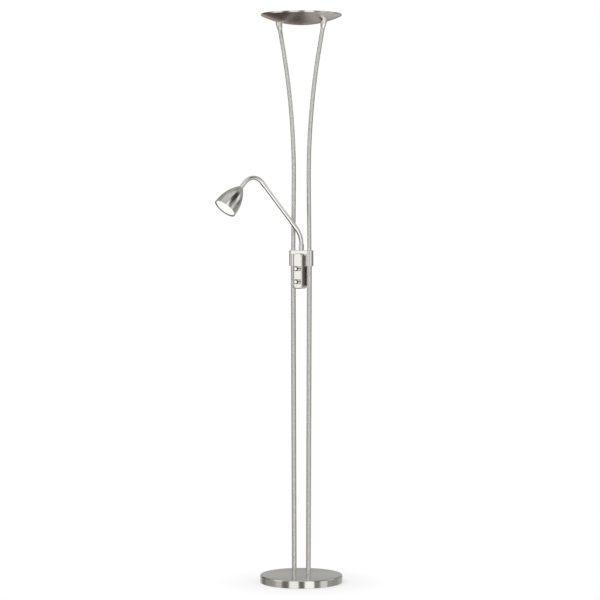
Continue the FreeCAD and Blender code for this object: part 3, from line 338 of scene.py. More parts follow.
def straight_tube(name, body, slot, start, end, radius, wall, facets, replaces, finish=None):
    """A straight tube with a bore, brushed along its length."""
    run = end - start
    bm = bmesh.new()
    run_on(bm, ring(bm, radius, facets, start, run), run)
    give_wall(bm, wall)
    back = frame_to(start, run).inverted()
    mark_surface(bm, lambda co: back @ co, lambda co: run.normalized())
    finish_piece(bm, name, body, slot, replaces, finish)


# ---------------------------------------------------------------- shader helpers
def fill(tree, node, inputs):
    """Set or link a node's inputs."""
    for key, value in inputs.items():
        if isinstance(value, bpy.types.NodeSocket):
            tree.links.new(value, node.inputs[key])
        else:
            node.inputs[key].default_value = value


def put(tree, kind, inputs=None, **settings):
    """Place a shader node, set it up and fill its inputs."""
    made = tree.nodes.new(kind)
    for key, value in settings.items():
        setattr(made, key, value)
    fill(tree, made, inputs or {})
    return made


def attribute(tree, name):
    return put(tree, "ShaderNodeAttribute", attribute_name=name).outputs["Vector"]


def maths(tree, operation, *values):
    return put(tree, "ShaderNodeMath", dict(enumerate(values)), operation=operation).outputs[0]


def vector_maths(tree, operation, *values):
    made = put(tree, "ShaderNodeVectorMath", dict(enumerate(values)), operation=operation)
    return made.outputs["Value" if operation in ("LENGTH", "DOT_PRODUCT") else "Vector"]


def eased(tree, value, low, high, to_low=0.0, to_high=1.0):
    """A smooth step of a value from one level to another."""
    return put(tree, "ShaderNodeMapRange", {"Value": value, "From Min": low, "From Max": high,
                                            "To Min": to_low, "To Max": to_high},
               interpolation_type="SMOOTHSTEP").outputs["Result"]


def new_group(name, inputs, outputs):
    """An empty node group with named sockets: name, kind and default."""
    tree = bpy.data.node_groups.new(name, "ShaderNodeTree")
    for label, kind, default in inputs:
        socket = tree.interface.new_socket(name=label, in_out="INPUT", socket_type="NodeSocket" + kind)
        if default is not None:
            socket.default_value = default
    for label, kind in outputs:
        tree.interface.new_socket(name=label, in_out="OUTPUT", socket_type="NodeSocket" + kind)
    return tree, tree.nodes.new("NodeGroupInput").outputs, tree.nodes.new("NodeGroupOutput").inputs


def brushing_group():
    """Fine lines left by a belt or a spinning pad, from a place on the straightened piece."""
    tree, given, result = new_group("Brushed lines", [("Place", "Vector", None), ("Lines", "Float", 2500.0),
                                                      ("Round", "Float", 3.0)],
                                    [("Mask", "Float"), ("Height", "Float")])
    parts = put(tree, "ShaderNodeSeparateXYZ", {"Vector": given["Place"]}).outputs
    flat = put(tree, "ShaderNodeCombineXYZ", {"X": parts["X"], "Y": parts["Y"]}).outputs[0]
    radius = vector_maths(tree, "LENGTH", flat)
    round_way = put(tree, "ShaderNodeVectorMath",
                    {0: vector_maths(tree, "NORMALIZE", flat), "Scale": given["Round"]},
                    operation="SCALE").outputs["Vector"]
    along = put(tree, "ShaderNodeCombineXYZ", {"Z": maths(tree, "MULTIPLY", parts["Z"], given["Lines"])})
    noise = put(tree, "ShaderNodeTexNoise",
                {"Vector": vector_maths(tree, "ADD", round_way, along.outputs[0]),
                 "W": maths(tree, "MULTIPLY", radius, given["Lines"]), "Scale": 1.0, "Detail": 3.0,
                 "Roughness": 0.6}, noise_dimensions="4D").outputs["Fac"]
    tree.links.new(eased(tree, noise, 0.3, 0.7), result["Mask"])
    tree.links.new(noise, result["Height"])
    return tree


def handling_group():
    """Soft cloudy differences, as wiping and handling leave on a plated surface."""
    tree, given, result = new_group("Handling marks", [("Place", "Vector", None), ("Scale", "Float", 25.0)],
                                    [("Mask", "Float")])
    noise = put(tree, "ShaderNodeTexNoise", {"Vector": given["Place"], "Scale": given["Scale"],
                                             "Detail": 4.0, "Roughness": 0.55}).outputs["Fac"]
    tree.links.new(eased(tree, noise, 0.35, 0.7), result["Mask"])
    return tree


def grain_group():
    """The small even grain of castings, enamel, ceramic, rubber and moulded plastic."""
    tree, given, result = new_group("Fine grain", [("Place", "Vector", None), ("Scale", "Float", 1500.0)],
                                    [("Mask", "Float"), ("Height", "Float")])
    noise = put(tree, "ShaderNodeTexNoise", {"Vector": given["Place"], "Scale": given["Scale"],
                                             "Detail": 2.0, "Roughness": 0.5}).outputs["Fac"]
    pits = put(tree, "ShaderNodeTexVoronoi", {"Vector": given["Place"], "Scale": given["Scale"]}).outputs[0]
    tree.links.new(eased(tree, noise, 0.35, 0.65), result["Mask"])
    tree.links.new(maths(tree, "MULTIPLY_ADD", pits, 0.4, noise), result["Height"])
    return tree


def use_group(tree, name, maker, inputs):
    """Place a shared node group, which is built the first time it is asked for."""
    shared = bpy.data.node_groups.get(name) or maker()
    return put(tree, "ShaderNodeGroup", inputs, node_tree=shared).outputs


def start_material(name, turned):
    """An empty material: its tree, its shader and the place that its patterns read."""
    material = bpy.data.materials.new(name + FINISH)
    material.use_nodes = True
    tree = material.node_tree
    shader = tree.nodes["Principled BSDF"]
    if turned:
        place = attribute(tree, TURNED)
    else:
        place = put(tree, "ShaderNodeTexCoord").outputs["Object"]
    return material, tree, shader, place


def between(tree, mask, low, high):
    """A value between two levels, by a mask."""
    return put(tree, "ShaderNodeMapRange", {"Value": mask, "To Min": low, "To Max": high}).outputs["Result"]


def mix_colours(tree, mask, first, second):
    return put(tree, "ShaderNodeMix", {0: mask, 6: (*first, 1), 7: (*second, 1)}, data_type="RGBA").outputs[2]


def worn(tree, mask, colour_value):
    """A plated colour, a little darker where a mask says so."""
    return mix_colours(tree, mask, colour_value, [c * WORN for c in colour_value])


def bumped(tree, height, distance):
    return put(tree, "ShaderNodeBump", {"Height": height, "Distance": distance}).outputs["Normal"]


def brushed_metal(name, colour_value, roughness, lines, round_way, depth, anisotropy, turned=True):
    """Satin metal whose brushing shows as fine lines, a stretched gloss and cloudy handling marks."""
    material, tree, shader, place = start_material(name, turned)
    brushing = use_group(tree, "Brushed lines", brushing_group, {"Place": place, "Lines": lines,
                                                                 "Round": round_way})
    marks = use_group(tree, "Handling marks", handling_group, {"Place": place})
    rough = maths(tree, "ADD", between(tree, brushing["Mask"], roughness * 0.9, roughness * 1.05),
                  between(tree, marks["Mask"], 0.0, roughness * 0.12))
    fill(tree, shader, {"Base Color": worn(tree, brushing["Mask"], colour_value), "Roughness": rough,
                        "Normal": bumped(tree, brushing["Height"], depth), "Metallic": 1.0})
    if anisotropy:
        run = put(tree, "ShaderNodeVectorTransform", {"Vector": attribute(tree, GROOVES)},
                  vector_type="VECTOR", convert_from="OBJECT", convert_to="WORLD").outputs[0]
        fill(tree, shader, {"Anisotropic": anisotropy, "Anisotropic Rotation": 0.25, "Tangent": run})
    return material


def polished_metal(name, colour_value, roughness, turned=True):
    """Plated metal with a faint ripple and wiped marks in its gloss."""
    material, tree, shader, place = start_material(name, turned)
    marks = use_group(tree, "Handling marks", handling_group, {"Place": place, "Scale": 60.0})
    grain = use_group(tree, "Fine grain", grain_group, {"Place": place, "Scale": 350.0})
    fill(tree, shader, {"Base Color": worn(tree, marks["Mask"], colour_value), "Metallic": 1.0,
                        "Roughness": between(tree, marks["Mask"], roughness * 0.7, roughness * 1.5),
                        "Normal": bumped(tree, grain["Height"], 2e-6)})
    return material


def metal_with_painted_reflection_ring(name, colour_value, roughness):
    """The knobs' polished metal, with a painted dark reflection ring on the face outside its bright middle."""
    material = polished_metal(name, colour_value, roughness)
    tree = material.node_tree
    sizes = bpy.context.scene.lamp_sizes
    middle, face = sizes.knob_middle, sizes.knob_length
    place = attribute(tree, TURNED)
    flat = vector_maths(tree, "MULTIPLY", place, (1, 1, 0))
    outside = eased(tree, vector_maths(tree, "LENGTH", flat), middle, middle * 1.12)
    height = put(tree, "ShaderNodeSeparateXYZ", {"Vector": place}).outputs["Z"]
    # Mask of the painted dark reflection ring: outside the bright middle, on the knob's front face only.
    mask = maths(tree, "MULTIPLY", outside, eased(tree, height, face * 0.7, face * 0.75))
    painted_reflection_colour = mix_colours(tree, mask, colour_value, bpy.context.scene.lamp_finish.knob_ring)
    fill(tree, tree.nodes["Principled BSDF"], {"Base Color": painted_reflection_colour})
    return material


def coated(name, colour_value, roughness, scale, depth, darker=0.85, turned=False, metallic=0.0):
    """Enamel, plastic, ceramic, rubber, felt and plain castings: a grain in colour, gloss and surface."""
    material, tree, shader, place = start_material(name, turned)
    grain = use_group(tree, "Fine grain", grain_group, {"Place": place, "Scale": scale})
    marks = use_group(tree, "Handling marks", handling_group, {"Place": place, "Scale": 40.0})
    mask = maths(tree, "MULTIPLY", grain["Mask"], between(tree, marks["Mask"], 0.6, 1.0))
    grained = mix_colours(tree, mask, colour_value, [c * darker for c in colour_value])
    rough = between(tree, marks["Mask"], roughness * 0.85, min(1.0, roughness * 1.2))
    fill(tree, shader, {"Base Color": grained, "Roughness": rough, "Metallic": metallic,
                        "Normal": bumped(tree, grain["Height"], depth)})
    return material


def glass(name, colour_value, roughness, depth, scale=900.0):
    """Clear or frosted glass with a slight unevenness."""
    material, tree, shader, place = start_material(name, False)
    grain = use_group(tree, "Fine grain", grain_group, {"Place": place, "Scale": scale})
    rough = between(tree, grain["Mask"], roughness * 0.8, roughness * 1.2 + 0.01)
    fill(tree, shader, {"Base Color": (*colour_value, 1), "Transmission Weight": 1.0, "IOR": 1.47,
                        "Roughness": rough, "Normal": bumped(tree, grain["Height"], depth)})
    return material


def lit_lens(name, colour_value, roughness):
    """A white diffusing lens that the lamp behind it lights evenly."""
    glow, warm_white = 0.35, (1.0, 0.98, 0.95, 1)
    material = coated(name, colour_value, roughness, 1500.0, 1e-6, 0.97)
    fill(material.node_tree, material.node_tree.nodes["Principled BSDF"],
         {"Emission Color": warm_white, "Emission Strength": glow})
    return material


# For each finish its maker, its colour in LampFinish or the record, and the maker's other settings.
FINISHES = {
    "brushed_nickel": (brushed_metal, "nickel", 0.13, 2600.0, 3.0, 1e-6, 0.8),
    "pole_nickel": (brushed_metal, "nickel", 0.24, 60.0, 120.0, 4e-7, 0.8),
    "bowl_nickel": (brushed_metal, "nickel", 0.24, 2200.0, 3.0, 1e-6, 0.8),
    "shade_nickel": (brushed_metal, "nickel", 0.17, 2200.0, 3.0, 1e-6, 0.8),
    "nickel_parts": (brushed_metal, "nickel", 0.2, 2200.0, 3.0, 1e-6, 0.0, False),
    "satin_casting": (brushed_metal, "casting", 0.05, 1800.0, 6.0, 2e-7, 0.0),
    "satin_housing": (brushed_metal, "housing", 0.14, 2200.0, 6.0, 1e-6, 0.0, False),
    "polished_chrome": (polished_metal, "chrome", 0.05),
    "neck_chrome": (polished_metal, "chrome", 0.08),
    # The knobs' chrome carries a painted dark reflection ring.
    "knob_chrome": (metal_with_painted_reflection_ring, "chrome", 0.05),
    "chrome_parts": (polished_metal, "chrome", 0.05, False),
    "zinc_steel": (polished_metal, "zinc_steel", 0.3, False),
    "sprung_steel": (polished_metal, "sprung_steel", 0.22, False),
    "plated_sheet": (polished_metal, "plated_sheet", 0.35, False),
    "dark_ring": (coated, "dark_ring", 0.35, 900.0, 4e-6, 0.85, True),
    "dark_parts": (coated, "dark_ring", 0.35, 900.0, 4e-6),
    "cast_weight": (coated, "cast_weight", 0.75, 600.0, 8e-5, 0.6, False, 0.6),
    "felt": (coated, "felt", 0.95, 1400.0, 2e-4, 0.55),
    "black_rubber": (coated, "black_rubber", 0.6, 1200.0, 1e-5),
    "black_plastic": (coated, "black_plastic", 0.45, 1600.0, 8e-6),
    "white_plastic": (coated, "white_plastic", 0.4, 1200.0, 4e-6, 0.95),
    "lead_sheath": (coated, "lead_sheath", 0.5, 900.0, 4e-6),
    "white_enamel": (coated, "enamel", 0.35, 700.0, 3e-6, 0.97),
    "reflector_aluminium": (coated, "reflector_aluminium", 0.25, 260.0, 1.2e-4, 0.95, False, 1.0),
    "white_ceramic": (coated, "white_ceramic", 0.7, 2200.0, 1e-5, 0.94),
    "lamp_glass": (glass, "lamp_glass", 0.02, 1e-6, 500.0),
    "shield_glass": (glass, "shield_glass", 0.02, 1e-6, 300.0),
    "opal_glass": (glass, "opal_glass", 0.4, 4e-6),
    "frosted_lens": (lit_lens, "lens", 0.35),
}


def finish_of(name):
    """The material of a finish, built the first time it is asked for."""
    if name + FINISH in bpy.data.materials:
        return bpy.data.materials[name + FINISH]
    maker, source, *settings = FINISHES[name]
    chosen = getattr(bpy.context.scene.lamp_finish, source, None)
    return maker(name, slot_colour(source) if chosen is None else chosen, *settings)


# ---------------------------------------------------------------- places that several pieces share
def joint_place(name):
    return Vector(JOINTS[name]["pos_m"])


def bowl_shape(sizes):
    """Radius, top and bottom of the bowl, and the radius and centre height of its sphere."""
    low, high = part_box("bowl_shell")
    cap = (high.z - sizes.bowl_lip) - low.z
    sphere = (high.x ** 2 + cap ** 2) / (2 * cap)
    return high.x, high.z, low.z, sphere, low.z + sphere


class PolePath:
    """The axis of one pole: a straight lower tube, and a bowed upper tube between two straight runs."""

    def __init__(self, side, sizes):
        self.side = SIDES[side]
        self.sizes = sizes
        low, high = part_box("lower_tube_" + side)
        inner, outer = sorted((abs(low.x), abs(high.x)))
        self.lower_start = Vector((self.side * (inner + sizes.lower_tube_radius), 0, low.z))
        self.lower_end = Vector((self.side * (outer - sizes.lower_tube_radius), 0, high.z))
        upper_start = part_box("upper_tube_" + side)[0].z
        bracket_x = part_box("bracket_body")[1].x - sizes.bracket_end
        self.start = Vector((self.side * bracket_x, 0, upper_start))
        sphere, centre_z = bowl_shape(sizes)[3:]
        seat = sizes.bowl_spacing / 2
        out = seat - sizes.waist_spacing / 2
        up = centre_z - math.sqrt(sphere ** 2 - seat ** 2) - sizes.waist_height
        self.radius = (out ** 2 + up ** 2 - sizes.pole_top_run ** 2) / (2 * out)
        across = sizes.waist_spacing / 2 + self.radius
        self.centre = Vector((self.side * across, 0, sizes.waist_height))
        rise = sizes.waist_height - self.start.z
        reach = math.hypot(across - bracket_x, rise)
        self.first_angle = math.acos(self.radius / reach) - math.atan2(rise, across - bracket_x)
        self.last_angle = math.atan2(up, self.radius - out) - math.atan2(sizes.pole_top_run, self.radius)
        self.bow_start = self.on_bow(self.first_angle)
        self.bow_end = self.on_bow(self.last_angle)
        self.top_run = Vector((self.side * math.sin(self.last_angle), 0, math.cos(self.last_angle)))
        self.first_run = (self.bow_start - self.start).normalized()
        self.end = self.under_bowl(self.bow_end) - self.top_run * sizes.ferrule_rim

    def on_bow(self, angle):
        inwards = Vector((-self.side * math.cos(angle), 0, math.sin(angle)))
        return self.centre + inwards * self.radius

    def under_bowl(self, point):
        """The place on the bowl's underside that a point reaches along the top run."""
        sphere, centre_z = bowl_shape(self.sizes)[3:]
        to_centre = Vector((0, 0, centre_z)) - point
        along = to_centre.dot(self.top_run)
        apart = (to_centre - self.top_run * along).length
        return point + self.top_run * (along - math.sqrt(sphere ** 2 - apart ** 2))

    def nearest(self, co):
        """The nearest place on an upper tube's axis, the way it runs there and its length up to there."""
        straight = (self.bow_start - self.start).length
        before = (co - self.bow_start).dot(self.first_run)
        past = (co - self.bow_end).dot(self.top_run)
        if before < 0:
            return self.bow_start + self.first_run * before, self.first_run, straight + before
        if past > 0:
            return self.bow_end + self.top_run * past, self.top_run, straight + self.bow_length() + past
        angle = math.atan2(co.z - self.centre.z, self.side * (self.centre.x - co.x))
        run = Vector((self.side * math.sin(angle), 0, math.cos(angle)))
        return self.on_bow(angle), run, straight + (angle - self.first_angle) * self.radius

    def unbent(self, co):
        """A point's place on the upper tube when that is laid straight along Z."""
        foot, run, along = self.nearest(co)
        return Vector(((co - foot).dot(run.cross(FRONT)), (co - foot).dot(FRONT), along))

    def bow_length(self):
        return (self.last_angle - self.first_angle) * self.radius


class Neck:
    """A flexible neck: equal bends about the pivots of a chain of joints."""

    def __init__(self, joint_names):
        self.names = joint_names
        self.pivots = [joint_place(name) for name in joint_names]
        self.axis = Vector(JOINTS[joint_names[0]]["axis"]).normalized()
        runs = [(b - a).normalized() for a, b in zip(self.pivots, self.pivots[1:])]
        self.pitch = (self.pivots[1] - self.pivots[0]).length
        self.step = runs[0].angle(runs[1])
        self.turn = 1 if runs[0].cross(runs[1]).dot(self.axis) > 0 else -1
        back = Matrix.Rotation(-self.turn * self.step, 3, self.axis)
        on = Matrix.Rotation(self.turn * self.step, 3, self.axis)
        self.runs = [back @ runs[0]] + runs + [on @ runs[-1]]
        self.radius = self.pitch / 2 / math.tan(self.step / 2)

    def start(self, index):
        """Where the bend about a pivot starts."""
        return self.pivots[index] - self.runs[index] * self.pitch / 2

    def end(self, index):
        return self.pivots[index] + self.runs[index + 1] * self.pitch / 2

    def centre(self, index):
        inwards = (self.axis * self.turn).cross(self.runs[index])
        return self.start(index) + inwards * self.radius

    def unbent(self, index, co):
        """A point's place on one bend when the neck is laid straight along Z."""
        centre = self.centre(index)
        out = self.start(index) - centre
        arm = co - centre
        flat = arm - self.axis * arm.dot(self.axis)
        angle = out.angle(flat)
        if out.cross(flat).dot(self.axis * self.turn) < 0:
            angle = -angle
        return Vector((arm.dot(self.axis), flat.length - self.radius,
                       (index * self.step + angle) * self.radius))


class BuildStep:
    """A step of the build that needs the lamp's sizes alone."""

    def execute(self, context):
        self.build(context.scene.lamp_sizes)
        return {"FINISHED"}


# ---------------------------------------------------------------- foot and poles
class LAMP_OT_foot(BuildStep, Operator):
    """Build the pressed foot cover with its rolled edge and the window behind the cord gland"""

    bl_idname = "lamp.foot"
    bl_label = "Foot"

    steps: IntProperty(name="Steps", description="Facets round the foot", default=144, min=24)

    def build(self, sizes):
        low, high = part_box("foot_cover")
        gland_low, gland_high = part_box("cord_gland")
        gland_z = (gland_low.z + gland_high.z) / 2
        window = 0.3 * (gland_high.z - gland_low.z)
        radius = high.x
        inner = radius - sizes.foot_wall
        hem = 0.0004
        outline = Outline(inner + sizes.foot_wall / 2, low.z)
        outline.to(radius, low.z, hem, 3).to(radius, gland_z - window).to(radius, gland_z + window)
        outline.to(radius, high.z, sizes.foot_edge, 10)
        for top_ring in (0.9, 0.6, 0.3):
            outline.to(radius * top_ring, high.z)
        outline.to(0, high.z).to(0, high.z - sizes.foot_wall)
        outline.to(inner, high.z - sizes.foot_wall, sizes.foot_edge - sizes.foot_wall, 6)
        outline.to(inner, gland_z + window).to(inner, gland_z - window).to(inner, low.z, hem, 3)
        bm = outline.turned(self.steps, math.pi / self.steps)
        self.open_window(bm, gland_z, window, inner)
        place_turned(bm)
        finish_piece(bm, "foot_shell", "stand", "brushed_nickel", ["foot_cover"])

    def open_window(self, bm, z, half, inner):
        """Open the skirt behind the gland, through both walls, and close the cut edge."""
        middles = {face: face.calc_center_median() for face in bm.faces}
        doomed = [face for face, middle in middles.items()
                  if abs(middle.z - z) < half and abs(middle.x) < half and middle.y > inner * 0.9]
        bmesh.ops.delete(bm, geom=doomed, context="FACES_ONLY")
        bmesh.ops.bridge_loops(bm, edges=[e for e in bm.edges if e.is_boundary])


class LAMP_OT_poles(BuildStep, Operator):
    """Build the two lower tubes and the two bowed upper tubes"""

    bl_idname = "lamp.poles"
    bl_label = "Poles"

    facets: IntProperty(name="Facets", description="Facets round a tube", default=48, min=12)
    bow_steps: IntProperty(name="Bow steps", description="Steps along the bow of an upper tube", default=36,
                           min=6)

    def build(self, sizes):
        for side in SIDES:
            path = PolePath(side, sizes)
            straight_tube("pole_lower_" + side, "stand", "brushed_nickel", path.lower_start, path.lower_end,
                          sizes.lower_tube_radius, sizes.lower_tube_wall, self.facets,
                          ["lower_tube_" + side], "pole_nickel")
            self.upper(side, path, sizes)

    def upper(self, side, path, sizes):
        bm = bmesh.new()
        edges = ring(bm, sizes.upper_tube_radius, self.facets, path.start, path.first_run)
        edges = run_on(bm, edges, path.bow_start - path.start)
        edges = bend_on(bm, edges, path.centre, (0, path.side, 0), path.last_angle - path.first_angle,
                        self.bow_steps)[1]
        run_on(bm, edges, path.end - path.bow_end)
        give_wall(bm, sizes.upper_tube_wall)
        mark_surface(bm, path.unbent, lambda co: path.nearest(co)[1])
        finish_piece(bm, "pole_upper_" + side, "stand", "brushed_nickel", ["upper_tube_" + side],
                     "pole_nickel")


class LAMP_OT_pole_ferrules(BuildStep, Operator):
    """Build the two tapered chrome ferrules that close the upper tubes against the bowl"""

    bl_idname = "lamp.pole_ferrules"
    bl_label = "Pole ferrules"

    def build(self, sizes):
        slip = 0.0001
        bore = sizes.upper_tube_radius + slip
        stud_bore = 0.0041
        lip = 0.0005
        shoulder = 0.005
        joined = bmesh.new()
        mesh = bpy.data.meshes.new("ferrule_mould")
        for side in SIDES:
            path = PolePath(side, sizes)
            top = sizes.ferrule_cone + sizes.ferrule_rim * 2
            outline = Outline(bore, 0)
            outline.to(bore + lip, 0, lip / 3, 2)
            outline.to(sizes.ferrule_radius, sizes.ferrule_cone, shoulder, 6)
            outline.to(sizes.ferrule_radius, top).to(stud_bore, top).to(stud_bore, sizes.ferrule_cone)
            outline.to(bore, sizes.ferrule_cone)
            cone_start = path.end - path.top_run * sizes.ferrule_cone
            bm = place_turned(outline.turned(ROUND_STEPS), cone_start, path.top_run)
            straight = bm.verts.layers.float_vector[TURNED]
            for v in bm.verts:
                if v[straight].z > top - 1e-5:
                    v.co = path.under_bowl(v.co)
            bm.to_mesh(mesh)
            bm.free()
            joined.from_mesh(mesh)
        bpy.data.meshes.remove(mesh)
        finish_piece(joined, "bowl_ferrules", "stand", "polished_chrome", ["pole_ferrules"])


# ---------------------------------------------------------------- bowl
class LAMP_OT_bowl(BuildStep, Operator):
    """Spin the shallow bowl with its upright lip"""

    bl_idname = "lamp.bowl"
    bl_label = "Bowl"

    steps: IntProperty(name="Steps", description="Facets round the bowl", default=144, min=24)
    curve_steps: IntProperty(name="Curve steps", description="Facets from centre to lip", default=28, min=4)

    def build(self, sizes):
        radius, top, bottom, sphere, centre_z = bowl_shape(sizes)
        wall = sizes.bowl_wall
        inner = radius - wall
        reach = math.asin(radius / sphere)
        inner_reach = math.asin(inner / (sphere - wall))
        inner_lip = centre_z - math.sqrt((sphere - wall) ** 2 - inner ** 2)
        outline = Outline(0, bottom)
        outline.arc(0, centre_z, -reach, self.curve_steps)
        outline.to(radius, top, wall * THIN_EDGE, 3).to(inner, top, wall * THIN_EDGE, 3).to(inner, inner_lip)
        outline.arc(0, centre_z, inner_reach, self.curve_steps)
        bm = place_turned(outline.turned(self.steps))
        finish_piece(bm, "bowl", "stand", "brushed_nickel", ["bowl_shell"], "bowl_nickel")


# ---------------------------------------------------------------- bracket and controls
def flat_outline(bm, steps):
    """A closed flat face: points as they come, and arcs as (centre, angle, steps) after a point."""
    first = last = None
    for step in steps:
        if len(step) == 2:
            new = bm.verts.new((step[0], step[1], 0))
            if last is not None:
                bm.edges.new((last, new))
            first = first or new
            last = new
        else:
            x, y, angle, count = step
            last = verts_of(spun(bm, [last], (x, y, 0), UP, angle, count))[0]
    bm.edges.new((last, first))
    bmesh.ops.remove_doubles(bm, verts=bm.verts, dist=WELD)
    return bmesh.ops.contextual_create(bm, geom=bm.edges[:])["faces"]


def raised(bm, faces, height):
    """Extrude flat faces straight up into a block and return its top faces."""
    made = bmesh.ops.extrude_face_region(bm, geom=faces)
    bmesh.ops.translate(bm, verts=verts_of(made["geom"]), vec=(0, 0, height))
    return [g for g in made["geom"] if isinstance(g, bmesh.types.BMFace)]


def soften(bm, edges, radius, segments=3):
    bmesh.ops.bevel(bm, geom=edges, offset=radius, offset_type="OFFSET", segments=segments, profile=0.5,
                    affect="EDGES", clamp_overlap=True, material=-1)


class LAMP_OT_bracket(BuildStep, Operator):
    """Build the bracket that joins the four tubes, and its cap"""

    bl_idname = "lamp.bracket"
    bl_label = "Bracket"

    arc_steps: IntProperty(name="Arc steps", description="Facets round a bracket end", default=32, min=8)

    def build(self, sizes):
        self.body(sizes)
        self.cap(sizes)

    def body(self, sizes):
        low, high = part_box("bracket_body")
        end, web, boss = sizes.bracket_end, sizes.bracket_web, sizes.bracket_boss
        half = high.x - end
        inset = math.sqrt(end ** 2 - web ** 2)
        sweep = math.tau - 2 * math.asin(web / end)
        bm = bmesh.new()
        faces = flat_outline(bm, [
            (half - inset, -web), (half, 0, sweep, self.arc_steps), (boss, web), (boss, end), (-boss, end),
            (-boss, web), (-half + inset, web), (-half, 0, sweep, self.arc_steps), (-boss, -web),
            (-boss, -end), (boss, -end), (boss, -web)])
        bmesh.ops.translate(bm, verts=bm.verts, vec=(0, 0, low.z))
        raised(bm, faces, high.z - low.z)
        bmesh.ops.recalc_face_normals(bm, faces=bm.faces)
        sharp = [e for e in bm.edges if e.calc_face_angle(0) > SMOOTH_ANGLE and e.is_convex]
        soften(bm, sharp, sizes.bracket_edge)
        mark_surface(bm, lambda co: co.copy(), lambda co: UP)
        finish_piece(bm, "bracket", "stand", "satin_casting", ["bracket_body"])

    def cap(self, sizes):
        low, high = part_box("bracket_cap")
        end, groove = sizes.bracket_end, sizes.bracket_groove
        half = high.x - end
        bm = bmesh.new()
        faces = flat_outline(bm, [(half, -end), (half, 0, math.pi, self.arc_steps), (-half, end),
                                  (-half, 0, math.pi, self.arc_steps)])
        bmesh.ops.translate(bm, verts=bm.verts, vec=(0, 0, high.z))
        under = raised(bm, faces, low.z + groove - high.z)
        bmesh.ops.recalc_face_normals(bm, faces=bm.faces)
        rims = [e for e in bm.edges if e.calc_face_angle(0) > SMOOTH_ANGLE]
        soften(bm, [e for e in rims if e.verts[0].co.z > high.z - groove], sizes.bracket_edge * 1.4, 4)
        bmesh.ops.inset_region(bm, faces=under, thickness=groove, use_even_offset=True)
        raised(bm, under, -groove)
        mark_surface(bm, lambda co: co.copy(), lambda co: UP)
        finish_piece(bm, "bracket_top", "stand", "satin_casting", ["bracket_cap"])


class LAMP_OT_knobs(BuildStep, Operator):
    """Turn the two chrome dimmer knobs, dished in front and hollow behind"""

    bl_idname = "lamp.knobs"
    bl_label = "Knobs"

    def build(self, sizes):
        gap = 0.0004
        wall = 0.0012
        room = 0.0054
        dish = 0.0005
        edge = 0.0003
        rim_share, dish_share, centre_share = 0.74, 0.66, 0.3
        radius, height = sizes.knob_radius, sizes.knob_length
        for level in ("upper", "lower"):
            outline = Outline(radius - wall, gap).to(radius, gap, edge, 2)
            outline.line(radius, height=0.0018, depth=edge, flat=0.0004)
            outline.to(radius, height, sizes.knob_edge, 8)
            outline.to(radius * rim_share, height, 0.0008, 4)
            outline.to(radius * dish_share, height - dish, 0.0006, 4)
            outline.to(radius * centre_share, height - dish * 1.3).to(0, height - dish * 1.4).to(0, room)
            outline.to(radius - wall, room, 0.0005, 3)
            bm = place_turned(outline.turned(64), joint_place(level + "_knob_turn"), FRONT)
            finish_piece(bm, "knob_" + level, level + "_control", "polished_chrome", [level + "_knob"],
                         "knob_chrome")


# ---------------------------------------------------------------- reading arm
LOWER_CHAIN = ["lower_flex_%d" % (i + 1) for i in range(4)]
UPPER_CHAIN = ["upper_flex_%d" % (i + 1) for i in range(6)]


class LAMP_OT_necks(BuildStep, Operator):
    """Wind the two flexible necks, one stretch for each joint that bends it"""

    bl_idname = "lamp.necks"
    bl_label = "Flexible necks"

    facets: IntProperty(name="Facets", description="Facets round a neck", default=40, min=12)
    rib_steps: IntProperty(name="Rib steps", description="Steps along one turn of the winding", default=6,
                           min=4)

    def build(self, sizes):
        for level, names in (("lower", LOWER_CHAIN), ("upper", UPPER_CHAIN)):
            neck = Neck(names)
            for index, name in enumerate(names):
                piece = self.stretch(sizes, neck, index, "%s_neck_%d" % (level, index + 1))
                neck.start(index)
                neck.end(index)
                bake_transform(piece)
                if index < len(names) - 1:
                    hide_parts("%s_sleeve_%d" % (level, index + 1))

    def stretch(self, sizes, neck, index, name):
        """One bend of the neck, with its turns rounded and shallow grooves between them."""
        turns = round(neck.radius * neck.step / sizes.neck_rib)
        steps = turns * self.rib_steps
        bm = bmesh.new()
        edges = ring(bm, sizes.neck_radius, self.facets, neck.start(index), neck.runs[index])
        angle = neck.step / steps
        outer = sizes.neck_radius
        for i in range(steps):
            verts, edges = bend_on(bm, edges, neck.centre(index), neck.axis * neck.turn, angle, 1)
            phase = (i + 1) / self.rib_steps
            wanted = sizes.neck_radius - sizes.neck_rib_depth * (0.5 - 0.5 * math.cos(math.tau * phase))
            middle = sum((v.co for v in verts), Vector()) / len(verts)
            bmesh.ops.scale(bm, vec=(wanted / outer,) * 3, verts=verts, space=Matrix.Translation(-middle))
            outer = wanted
        give_wall(bm, sizes.neck_wall)
        mark_surface(bm, lambda co: neck.unbent(index, co), lambda co: neck.axis)
        return finish_piece(bm, name, None, "polished_chrome", finish="neck_chrome")


def turned_sleeve(name, body, start, end, radius, bore, replaces, dark_line=0.0):
    """A round sleeve between two points, with softened ends and a shallow line turned near its start."""
    edge = 0.0006
    height = (end - start).length
    outline = Outline(bore, 0)
    outline.to(radius, 0, edge, 4)
    if dark_line:
        outline.line(radius, dark_line, depth=0.00025, flat=0.00025)
    outline.to(radius, height, edge, 4).to(bore, height)
    bm = place_turned(outline.turned(ROUND_STEPS), start, end - start)
    return finish_piece(bm, name, body, "polished_chrome", replaces)


